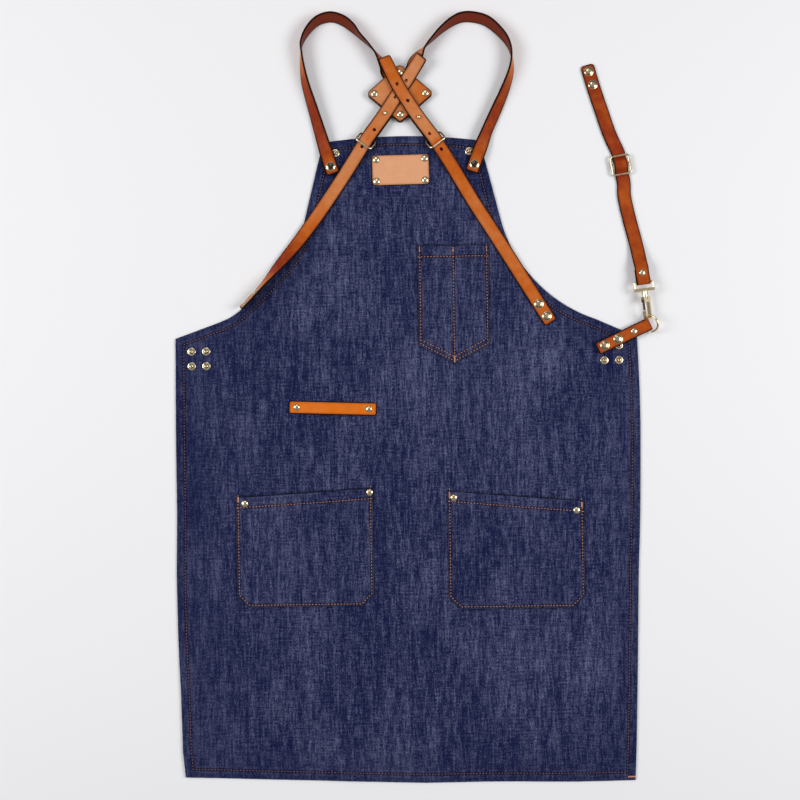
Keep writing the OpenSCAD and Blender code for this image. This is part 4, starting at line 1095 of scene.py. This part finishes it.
def directionOf(degrees):
    return np.array([math.cos(math.radians(degrees)), math.sin(math.radians(degrees))])


hookDir = directionOf(beltCut["hookTurn"])
buckleDir = directionOf(beltCut["buckleTurn"])
jointAt = {j["name"]: np.array(j["pos_m"]) / mm for j in frame["joints"] if j.get("pos_m")}
eyeAt = jointAt["belt_swing"]
buckleAt = jointAt["buckle_rock"]


def waistStations():
    floor = beltCut["floor"]
    overBar = buckleAt[2] + beltCut["wire"] + stack["gap"]
    half = beltCut["frame"] / 2
    level = eyeAt[2] - stack["strap"] / 2
    start = [[-2.3, 20, level, 0, .34], [-5, 40, 3.4, 0, .33], [-9, 60, .4, 0, .33],
             [-15.1, 84, floor, 0, .3], [-20.8, 112, floor, 0, .38]]
    middle = [[-24, floor, .3], [2 - half, floor, .24], [-2.4, overBar, .3], [2.4, overBar, .3],
              [half - 2, floor, .2], [17, floor, .24]]
    end = [[-39.4, 195, floor, 0, .27], [-49.6, 226, floor, 0, .3], [-58.6, 254, floor, 0, .27],
           [-67, 284, floor, 0, .33]]
    stations = [[eyeAt[0] + x, eyeAt[1] + y, z, roll, tone] for x, y, z, roll, tone in start]
    stations += [[*(buckleAt[:2] + d * buckleDir), z, 0, tone] for d, z, tone in middle]
    stations += [[eyeAt[0] + x, eyeAt[1] + y, z, roll, tone] for x, y, z, roll, tone in end]
    return stations


def makeWaistStrap():
    half = stack["strap"] / 2
    z = eyeAt[2]
    path = [(beltCut["rivetAt"] + 6, z - foldR + half), (4, z - foldR + half)]
    path += arc(0, z, foldR - half, 270, 90)
    path += [(4, z + 1.6), (8, z + 0.3), (12, z), (16, z)]
    start = planeRun(eyeAt[:2], hookDir, path, 0.36)
    run = joinRuns(start, runOf(waistStations(), strapCut["width"], strapCut["thick"]))
    piece = makeStrap("waistStrap", run, strapCut["width"], strapCut["thick"], strapLeather, (2, 4.5))
    finishPiece(piece, "belt", ["waist_strap"])


makeWaistStrap()
print("tab, loop and waist strap made")


# fasteners: profiles turned on a lathe, set on points by a node tree
def lathe(name, profile, steps, material):
    # profile: (radius, height, painted dark) from the top's middle outwards and down; closed below; painted
    # dark is painted shade in grooves and under rims, and painted dark reflection on cap tops
    points, faces = [(0, 0, profile[0][1])], []
    turns = [2 * math.pi * k / steps for k in range(steps)]
    for row in profile[1:]:
        points += [(row[0] * math.cos(turn), row[0] * math.sin(turn), row[1]) for turn in turns]
    faces += [(0, 1 + k, 1 + (k + 1) % steps) for k in range(steps)]
    for row in range(len(profile) - 2):
        a, b = 1 + row * steps, 1 + (row + 1) * steps
        faces += [(a + k, b + k, b + (k + 1) % steps, a + (k + 1) % steps) for k in range(steps)]
    last = 1 + (len(profile) - 2) * steps
    faces.append(tuple(last + k for k in reversed(range(steps))))
    piece = addPiece(name, points, faces, material)
    darks = [row[2] if len(row) > 2 else 0 for row in profile]
    setFloat(piece, "groove", [darks[0]] + [dark for dark in darks[1:] for _ in range(steps)])
    return piece


# third value: painted shade in grooves and under rims; capDark's dark top and the snap's dark ring are
# painted reflections
capShapes = {
    "rivet": [(0, 1.75), (1.0, 1.70), (2.2, 1.52), (3.3, 1.18), (4.1, 0.72, .15), (4.55, 0.30, .6),
              (4.6, 0.0, .9), (4.2, -0.25, .9)],
    "snap": [(0, 1.72), (1.6, 1.66), (3.0, 1.46, .1), (3.9, 1.22, .55), (4.6, 0.95, .75), (5.2, 0.62, .5),
             (5.5, 0.50, .1), (5.9, 0.42), (6.15, 0.18, .5), (6.1, -0.1, .9), (5.6, -0.25, .9)],
    "capDark": [(0, 1.72, .93), (1.6, 1.66, .93), (3.2, 1.42, .93), (4.4, 1.02, .8), (5.0, 0.70, .1),
                (5.5, 0.50), (5.9, 0.42), (6.15, 0.18, .5), (6.1, -0.1, .9), (5.6, -0.25, .9)],
    "stud": [(0, 2.5, .7), (1.0, 2.5, .7), (1.25, 2.9, .2), (1.6, 3.05), (2.1, 2.9), (2.3, 2.3, .5),
             (2.1, 1.4, .9), (2.5, 0.9, .9), (3.2, 0.85, .4), (3.6, 0.95), (4.4, 0.9), (5.0, 0.75),
             (5.4, 0.42, .3), (5.4, 0.0, .8), (5.0, -0.2, .8)],
    "button": [(0, 5.05), (1.2, 4.85), (2.1, 4.15), (2.5, 3.2), (2.3, 2.2), (1.6, 1.35), (1.25, 0.7),
               (1.4, 0.2), (3.2, 0.0), (3.3, -0.4)],
    "socket": [(0, -0.02), (4.3, -0.05), (4.6, -0.4), (4.6, -2.3), (4.2, -2.6), (2.9, -2.65), (2.6, -2.3)],
    "disc": [(0, 0.1), (3.6, 0.05), (4.2, -0.1), (4.4, -0.4), (4.3, -0.8)]}
capSteps = 28


def makeSetTree():
    tree, given, result = newGroup("setOnPoints", "GeometryNodeTree", [
        ("Points", "NodeSocketGeometry", None), ("Cap", "NodeSocketObject", None),
        ("Size", "NodeSocketFloat", 1.0), ("Finish", "NodeSocketMaterial", None),
        ("Seed", "NodeSocketInt", 7)], [("Mesh", "NodeSocketGeometry")])
    cap = addNode(tree, "GeometryNodeObjectInfo", {"Object": given["Cap"]})
    facing = addNode(tree, "GeometryNodeInputNamedAttribute", {"Name": "facing"}, data_type="FLOAT_VECTOR")
    turn = addNode(tree, "FunctionNodeAlignRotationToVector", {"Vector": facing.outputs[0]}, axis="Z")
    spin = addNode(tree, "FunctionNodeRandomValue", {"Seed": given["Seed"]}, data_type="FLOAT")
    spin.inputs[3].default_value = 6.28
    about = addNode(tree, "FunctionNodeAxisAngleToRotation", {"Axis": (0, 0, 1), "Angle": spin.outputs[1]})
    both = addNode(tree, "FunctionNodeRotateRotation", {0: turn.outputs[0], 1: about.outputs[0]},
                   rotation_space="LOCAL")
    placed = addNode(tree, "GeometryNodeInstanceOnPoints", {
        "Points": given["Points"], "Instance": cap.outputs["Geometry"], "Rotation": both.outputs[0],
        "Scale": given["Size"]})
    real = addNode(tree, "GeometryNodeRealizeInstances", {0: placed.outputs[0]})
    finish = addNode(tree, "GeometryNodeSetMaterial", {"Geometry": real.outputs[0],
                                                       "Material": given["Finish"]})
    tree.links.new(finish.outputs[0], result["Mesh"])
    return tree


setTree = makeSetTree()


def runTree(name, base, tree, values):
    # puts the tree on the base object, sets its inputs and keeps the plain mesh it makes
    modifier = base.modifiers.new(tree.name, "NODES")
    modifier.node_group = tree
    for item in tree.interface.items_tree:
        if item.item_type == "SOCKET" and item.in_out == "INPUT" and item.name in values:
            modifier[item.identifier] = values[item.name]
    bpy.context.view_layer.update()
    made = bpy.data.meshes.new_from_object(base.evaluated_get(bpy.context.evaluated_depsgraph_get()))
    bpy.data.objects.remove(base)
    made.name = name
    made.polygons.foreach_set("use_smooth", [True] * len(made.polygons))
    piece = bpy.data.objects.new(name, made)
    bpy.context.scene.collection.objects.link(piece)
    return piece


def setCaps(name, kind, places, body, nodes=(), size=1.0):
    # places: (x, y, z) or (x, y, z, facing) of each cap's seat
    cap = lathe("capShape", capShapes[kind], capSteps, paleGold)
    spots = addPiece("spots", [p[:3] for p in places], [], paleGold)
    setVector(spots, "facing", [p[3] if len(p) > 3 else (0, 0, 1) for p in places])
    piece = runTree(name, spots, setTree, {"Cap": cap, "Size": size, "Finish": paleGold, "Seed": len(places)})
    bpy.data.objects.remove(cap)
    return finishPiece(piece, body, nodes)


studCut = {"x": 268, "y": -26.5, "pitch": 19}


def square(side):
    h = studCut["pitch"] / 2
    return [(side * (studCut["x"] + i * h), studCut["y"] + j * h, 1.5) for i in (-1, 1) for j in (-1, 1)]


pocketRivetsAt = [(-211.2, -215.3), (-48.9, -203), (60.2, -211.5), (219.6, -230.1)]


def makeFasteners():
    setCaps("pocketRivets", "rivet", [(x, y, 3.1) for x, y in pocketRivetsAt], "apron", ["pocket_rivets"])
    w, h = (s / 2 - labelCut["rivetIn"] for s in labelCut["size"])
    label = turned([(i * w, j * h) for i in (-1, 1) for j in (-1, 1)], labelCut["at"], labelCut["turn"])
    setCaps("labelRivets", "rivet", [(x, y, 3.3) for x, y in label], "apron", ["label_rivets"])
    tool = turned([(-47, 0), (47, 0)], toolCut["at"], toolCut["turn"])
    setCaps("toolLoopRivets", "rivet", [(x, y, 3.3) for x, y in tool], "apron", ["tool_loop_rivets"], 0.95)
    setCaps("sideStudsLeft", "stud", square(-1), "apron", ["side_studs_left"])
    setCaps("sideStudsRight", "stud", square(1), "apron", ["side_studs_right"])
    bib = [(s * x, y, 1.5) for s in (-1, 1) for x, y in ((93, 220), (87, 238))]
    setCaps("bibStuds", "stud", bib, "apron", ["bib_studs"])
    snaps = [(s * 93, 220, snapSeat + 2.2) for s in (-1, 1)]
    setCaps("shoulderSnapCaps", "capDark", snaps, "harness", ["shoulder_snaps"])
    setCaps("shoulderSnapSockets", "socket", [(x, y, snapSeat) for x, y, z in snaps], "harness")
    reachX, reachY = crossCut["w"] / 2 - crossCut["rivetIn"], crossCut["h"] / 2 - crossCut["rivetIn"]
    cross = [(cx + x, cy + y) for x, y in ((reachX, 0), (-reachX, 0), (0, reachY), (0, -reachY))]
    setCaps("crossRivets", "rivet", [(x, y, crossTop + crossCut["thick"]) for x, y in cross], "harness",
            ["cross_patch_rivets"])
    buttons = [(x, y, flapZ + 2.2 - 1.0) for x, y in (buttonRight, buttonLeft)]
    setCaps("buttonStuds", "button", buttons, "harness", ["button_studs"])
    low = strapHigh - stack["strap"] - stack["lay"]
    setCaps("buttonScrews", "disc", [(x, y, low, (0, 0, -1)) for x, y, z in buttons], "harness",
            ["button_screws"], 0.7)
    end = np.array(backRight[-1][:2])
    run = (end - foldRight) / np.linalg.norm(end - foldRight)
    free = [(*(end - d * run), flatLift + 2.2) for d in (10, 29)]
    free += leftEndSnaps()
    setCaps("backStrapSnaps", "snap", free, "harness", ["back_strap_snaps"])
    tab = [(*(np.array(tabCut["pivot"]) + d * tabDir), snapSeat) for d in (0, studCut["pitch"])]
    setCaps("tabSnapCaps", "snap", [(x, y, z + 2.2) for x, y, z in tab], "tab", ["side_tab_snaps"])
    setCaps("tabSnapSockets", "socket", tab, "tab")
    at = np.array(tabCut["pivot"]) + (tabCut["len"] - 20) * tabDir
    setCaps("tabRivet", "rivet", [(*at, snapSeat + 2.2)], "tab", ["side_tab_rivet"], 0.95)
    setCaps("tabRivetBack", "disc", [(*at, 3.0, (0, 0, -1))], "tab")
    at = eyeAt[:2] + beltCut["rivetAt"] * hookDir
    setCaps("waistRivet", "rivet", [(*at, eyeAt[2] + 1.15), (*at, eyeAt[2] - 3.7, (0, 0, -1))], "belt",
            ["waist_strap_rivet"], size=0.95)
    stations = waistStations()
    last, before = np.array(stations[-1][:2]), np.array(stations[-2][:2])
    run = (last - before) / np.linalg.norm(last - before)
    ends = [(*(last - d * run), beltCut["floor"] + 2.2) for d in beltCut["snaps"]]
    setCaps("waistSnaps", "snap", ends, "belt", ["waist_strap_snaps"])


def leftEndSnaps():
    width, thick = strapCut["width"], strapCut["thick"]
    roll = math.radians(leftRoll)
    lift = width / 2 * math.sin(roll) + thick / 2 * math.cos(roll)
    a = np.array([*backLeft[-2][:2], backLeft[-2][2] + lift])
    b = np.array([*backLeft[-1][:2], backLeft[-1][2] + lift])
    run = (b - a) / np.linalg.norm(b - a)
    across = np.array([-run[1], run[0], 0]) * math.cos(roll) + np.array([0, 0, math.sin(roll)])
    facing = np.cross(run, across)
    return [(*(b - d * run + facing * thick / 2), tuple(facing)) for d in (9, 27)]


makeFasteners()
print("fasteners set")


# stitches: small threads set along every seam by a node tree
def makeStitchTree():
    tree, given, result = newGroup("stitchLine", "GeometryNodeTree", [
        ("Seams", "NodeSocketGeometry", None), ("Pitch", "NodeSocketFloat", 0.0032),
        ("Length", "NodeSocketFloat", 0.0024), ("Width", "NodeSocketFloat", 0.0007),
        ("Height", "NodeSocketFloat", 0.0006), ("Turn", "NodeSocketFloat", 0.0),
        ("Thread", "NodeSocketMaterial", None), ("Seed", "NodeSocketInt", 3)],
        [("Mesh", "NodeSocketGeometry")])
    line = addNode(tree, "GeometryNodeMeshToCurve", {"Mesh": given["Seams"]})
    points = addNode(tree, "GeometryNodeCurveToPoints", {"Curve": line.outputs[0], "Length": given["Pitch"]},
                     mode="LENGTH")
    ball = addNode(tree, "GeometryNodeMeshUVSphere", {"Segments": 8, "Rings": 5, "Radius": 0.5})
    turn = addNode(tree, "FunctionNodeAlignRotationToVector", {"Vector": points.outputs["Tangent"]}, axis="X")
    jitter = addNode(tree, "FunctionNodeRandomValue", {"Seed": given["Seed"]}, data_type="FLOAT")
    jitter.inputs[2].default_value = -0.13
    jitter.inputs[3].default_value = 0.13
    angle = addNode(tree, "ShaderNodeMath", {0: given["Turn"], 1: jitter.outputs[1]}, operation="ADD")
    about = addNode(tree, "FunctionNodeAxisAngleToRotation", {"Axis": (0, 0, 1), "Angle": angle.outputs[0]})
    both = addNode(tree, "FunctionNodeRotateRotation", {0: turn.outputs[0], 1: about.outputs[0]},
                   rotation_space="LOCAL")
    size = addNode(tree, "ShaderNodeCombineXYZ", {0: given["Length"], 1: given["Width"], 2: given["Height"]})
    placed = addNode(tree, "GeometryNodeInstanceOnPoints", {
        "Points": points.outputs[0], "Instance": ball.outputs[0], "Rotation": both.outputs[0],
        "Scale": size.outputs[0]})
    real = addNode(tree, "GeometryNodeRealizeInstances", {0: placed.outputs[0]})
    finish = addNode(tree, "GeometryNodeSetMaterial", {"Geometry": real.outputs[0],
                                                       "Material": given["Thread"]})
    tree.links.new(finish.outputs[0], result["Mesh"])
    return tree


stitchTree = makeStitchTree()
stitchLook = {"pitch": 4.1, "length": 2.6, "width": 1.0, "height": 0.8}


def heightUnder(piece, points, reach=30.0):
    # height of the cloth's top surface at each point
    piece.update_tag()
    bpy.context.view_layer.update()
    heights = []
    for x, y in points:
        hit, place = piece.ray_cast(Vector((x * mm, y * mm, reach * mm)), Vector((0, 0, -1)))[:2]
        heights.append(place.z / mm if hit else 1.5)
    return heights


def makeStitches(name, lines, cloth, thread, pitch=None, length=None, closed=False, lift=None):
    points, edges = [], []
    for k, line in enumerate(lines):
        dense = densify(line, 2.0) if closed else densifyOpen(line, 2.0)
        start = len(points)
        level = lift[k] if lift and lift[k] else None
        points += [[x, y, level or z] for (x, y), z in zip(dense, heightUnder(cloth, dense))]
        edges += [(start + k, start + k + 1) for k in range(len(dense) - 1)]
        if closed:
            edges.append((len(points) - 1, start))
    mesh = bpy.data.meshes.new(name)
    mesh.from_pydata((np.array(points) * mm).tolist(), edges, [])
    base = bpy.data.objects.new(name + "Base", mesh)
    bpy.context.scene.collection.objects.link(base)
    look = stitchLook
    piece = runTree(name, base, stitchTree, {
        "Pitch": (pitch or look["pitch"]) * mm, "Length": (length or look["length"]) * mm,
        "Width": look["width"] * mm, "Height": look["height"] * mm, "Turn": 0.0, "Thread": thread, "Seed": 5})
    return finishPiece(piece, "apron")


def densifyOpen(line, step):
    line = np.asarray(line, float)
    points = []
    for a, b in zip(line[:-1], line[1:]):
        count = max(1, int(math.ceil(np.linalg.norm(b - a) / step)))
        points += [a + (b - a) * k / count for k in range(count)]
    return np.array(points + [line[-1]])


def bartack(at, length, angle, width=1.5):
    # a dense little zigzag
    a = math.radians(angle)
    along, across = np.array([math.cos(a), math.sin(a)]), np.array([-math.sin(a), math.cos(a)])
    count = int(length / 0.45)
    return [np.asarray(at) + along * (k / count - 0.5) * length + across * width * (k % 2 - 0.5)
            for k in range(count + 1)]


def makeAllStitches():
    hem = insetLine(panelLine, panelCut["hem"])
    panelThreads = makeStitches("hemStitches", [hem], panel, hemThread, closed=True)
    pocketThreads = []
    for cloth in (handLeft, handRight, chest):
        lines = [seam for name, seam in stitchPaths if name == cloth.name]
        pocketThreads.append(makeStitches(cloth.name + "Stitches", lines, cloth, rustThread))
    # x, y, angle and length of each bar of close stitches
    tacks = [(-219.6, -210, 90, 6), (-47.9, -203, 90, 6), (54.8, -208, 90, 6), (226.2, -223, 90, 6),
             (20.8, 111, 90, 6), (107, 111, 90, 6), (64, 110, 90, 6), (64, -32, 90, 7), (286, -577, 0, 9)]
    spots = [bartack((x, y), length, angle) for x, y, angle, length in tacks]
    makeStitches("bartacks", spots, panel, rustThread, pitch=0.9, length=1.6, lift=[3.2] * 8 + [None])
    return panelThreads, pocketThreads


panelThreads, pocketThreads = makeAllStitches()
print("stitched")

# rings, loops, buckle and hook
def tube(name, path, radius, material, closed=True, sides=14):
    path = np.asarray(path, float)
    count = len(path)
    ahead = np.roll(path, -1, axis=0) - np.roll(path, 1, axis=0)
    if not closed:
        ahead[0], ahead[-1] = path[1] - path[0], path[-1] - path[-2]
    ahead /= np.linalg.norm(ahead, axis=1)[:, None]
    side = np.cross(ahead, np.linalg.svd(path - path.mean(0))[2][2])
    side /= np.linalg.norm(side, axis=1)[:, None]
    up = np.cross(side, ahead)
    points, faces = [], []
    for i in range(count):
        for k in range(sides):
            a = 2 * math.pi * k / sides
            points.append(path[i] + radius * (math.cos(a) * side[i] + math.sin(a) * up[i]))
    for i in range(count if closed else count - 1):
        j = (i + 1) % count
        faces += [(i * sides + k, i * sides + (k + 1) % sides, j * sides + (k + 1) % sides, j * sides + k)
                  for k in range(sides)]
    if not closed:
        faces.append(tuple(reversed(range(sides))))
        faces.append(tuple((count - 1) * sides + k for k in range(sides)))
    return addPiece(name, points, faces, material)


def placed(points, at, turn, tilt):
    # local points tilted about Y, then turned about Z and moved
    a, b = math.radians(turn), math.radians(tilt)
    tiltM = np.array([[math.cos(b), 0, -math.sin(b)], [0, 1, 0], [math.sin(b), 0, math.cos(b)]])
    turnM = np.array([[math.cos(a), -math.sin(a), 0], [math.sin(a), math.cos(a), 0], [0, 0, 1]])
    return np.asarray(points, float) @ tiltM.T @ turnM.T + np.asarray(at, float)


def wireFrame(length, half, corner=3.8):
    shape = rounded([[0, -half], [length, -half], [length, half], [0, half]], corner, 6)
    return np.column_stack([densify(shape, 2.0), np.zeros(len(densify(shape, 2.0)))])


ringCut = {"half": 11, "leg": 5, "tilt": 50, "wire": 1.3}
buckleLook = {"wire": 1.45, "bar": 1.1, "corner": 2.6}


def makeRings():
    frameLine = wireFrame(loopCut["len"], loopCut["half"])
    angle = strapCut["harnessAngle"]
    line = placed(frameLine, [*foldRight, foldZ], -angle, loopCut["tilt"])
    right = tube("loopRight", line, loopCut["drawn"], paleGold)
    finishPiece(right, "loop_right", ["harness_loop_right"])
    line = placed(frameLine, [*foldLeft, foldZ], 180 + angle, loopCut["tilt"])
    left = tube("loopLeft", line, loopCut["drawn"], paleGold)
    finishPiece(left, "loop_left", ["harness_loop_left"])
    ringAt = jointAt["ring_lift"]
    half, leg = ringCut["half"], ringCut["leg"]
    bow = [math.radians(a) for a in range(0, 181, 12)]
    line = [[0, y, 0] for y in np.linspace(-half, half, 9)] + [[leg / 2, half, 0]]
    line += [[leg + half * math.sin(a), half * math.cos(a), 0] for a in bow] + [[leg / 2, -half, 0]]
    ring = tube("dRing", placed(line, ringAt, tabCut["angle"], ringCut["tilt"]), ringCut["wire"], paleGold)
    finishPiece(ring, "ring", ["d_ring"])
    buckle = wireFrame(beltCut["frame"], loopCut["half"], buckleLook["corner"]) - [beltCut["frame"] / 2, 0, 0]
    buckle = placed(buckle, buckleAt, beltCut["buckleTurn"], 0)
    piece = tube("buckleFrame", buckle, buckleLook["wire"], paleGold)
    finishPiece(piece, "buckle", ["slide_buckle"])
    bar = [[0, y, 0] for y in np.linspace(-loopCut["half"], loopCut["half"], 7)]
    bar = placed(bar, buckleAt, beltCut["buckleTurn"], 0)
    barPiece = tube("buckleBar", bar, buckleLook["bar"], paleGold, closed=False)
    finishPiece(barPiece, "buckle")


makeRings()
for name, finish in (("hook_body", paleGold), ("gate_pin", paleGold), ("gate_spring", springSteel),
                     ("hook_gate", darkPlate), ("swivel_eye", paleGold), ("rivet_backs", paleGold)):
    node = frame["nodes"][name]
    node.data.materials.clear()
    node.data.materials.append(finish)
print("rings and buckle made")


# floor and light
# lights: name, place, size and power of each soft box
studio = {"floor": (0.86, 0.855, 0.862, 1), "sky": (0.93, 0.95, 1.0, 1), "skyLight": 0.30,
          "lights": [("leftBox", (-1.75, 0.10, 1.8), 1.3, 30), ("rightBox", (1.75, 0.0, 1.8), 1.3, 31),
                     ("overhead", (-0.2, 1.5, 2.2), 1.0, 6)]}


def makeStudio():
    bpy.ops.mesh.primitive_plane_add(size=14, location=(0, 0, -0.0006))
    floor = bpy.context.object
    floor.name = "floor"
    material, tree, surface = newMaterial("paleFloor")
    surface.inputs["Base Color"].default_value = studio["floor"]
    surface.inputs["Roughness"].default_value = 0.9
    surface.inputs["Specular IOR Level"].default_value = 0.1
    floor.data.materials.append(material)
    world = bpy.data.worlds.new("studio")
    bpy.context.scene.world = world
    world.use_nodes = True
    back = world.node_tree.nodes["Background"]
    back.inputs[0].default_value = studio["sky"]
    back.inputs[1].default_value = studio["skyLight"]
    for name, at, size, power in studio["lights"]:
        data = bpy.data.lights.new(name, "AREA")
        data.shape = "DISK"
        data.size = size
        data.energy = power
        lamp = bpy.data.objects.new(name, data)
        lamp.location = at
        lamp.rotation_euler = (Vector((0, -0.05, 0)) - Vector(at)).to_track_quat("-Z", "Y").to_euler()
        bpy.context.scene.collection.objects.link(lamp)
    bpy.context.scene.view_settings.view_transform = "Standard"


makeStudio()
print("studio lit")
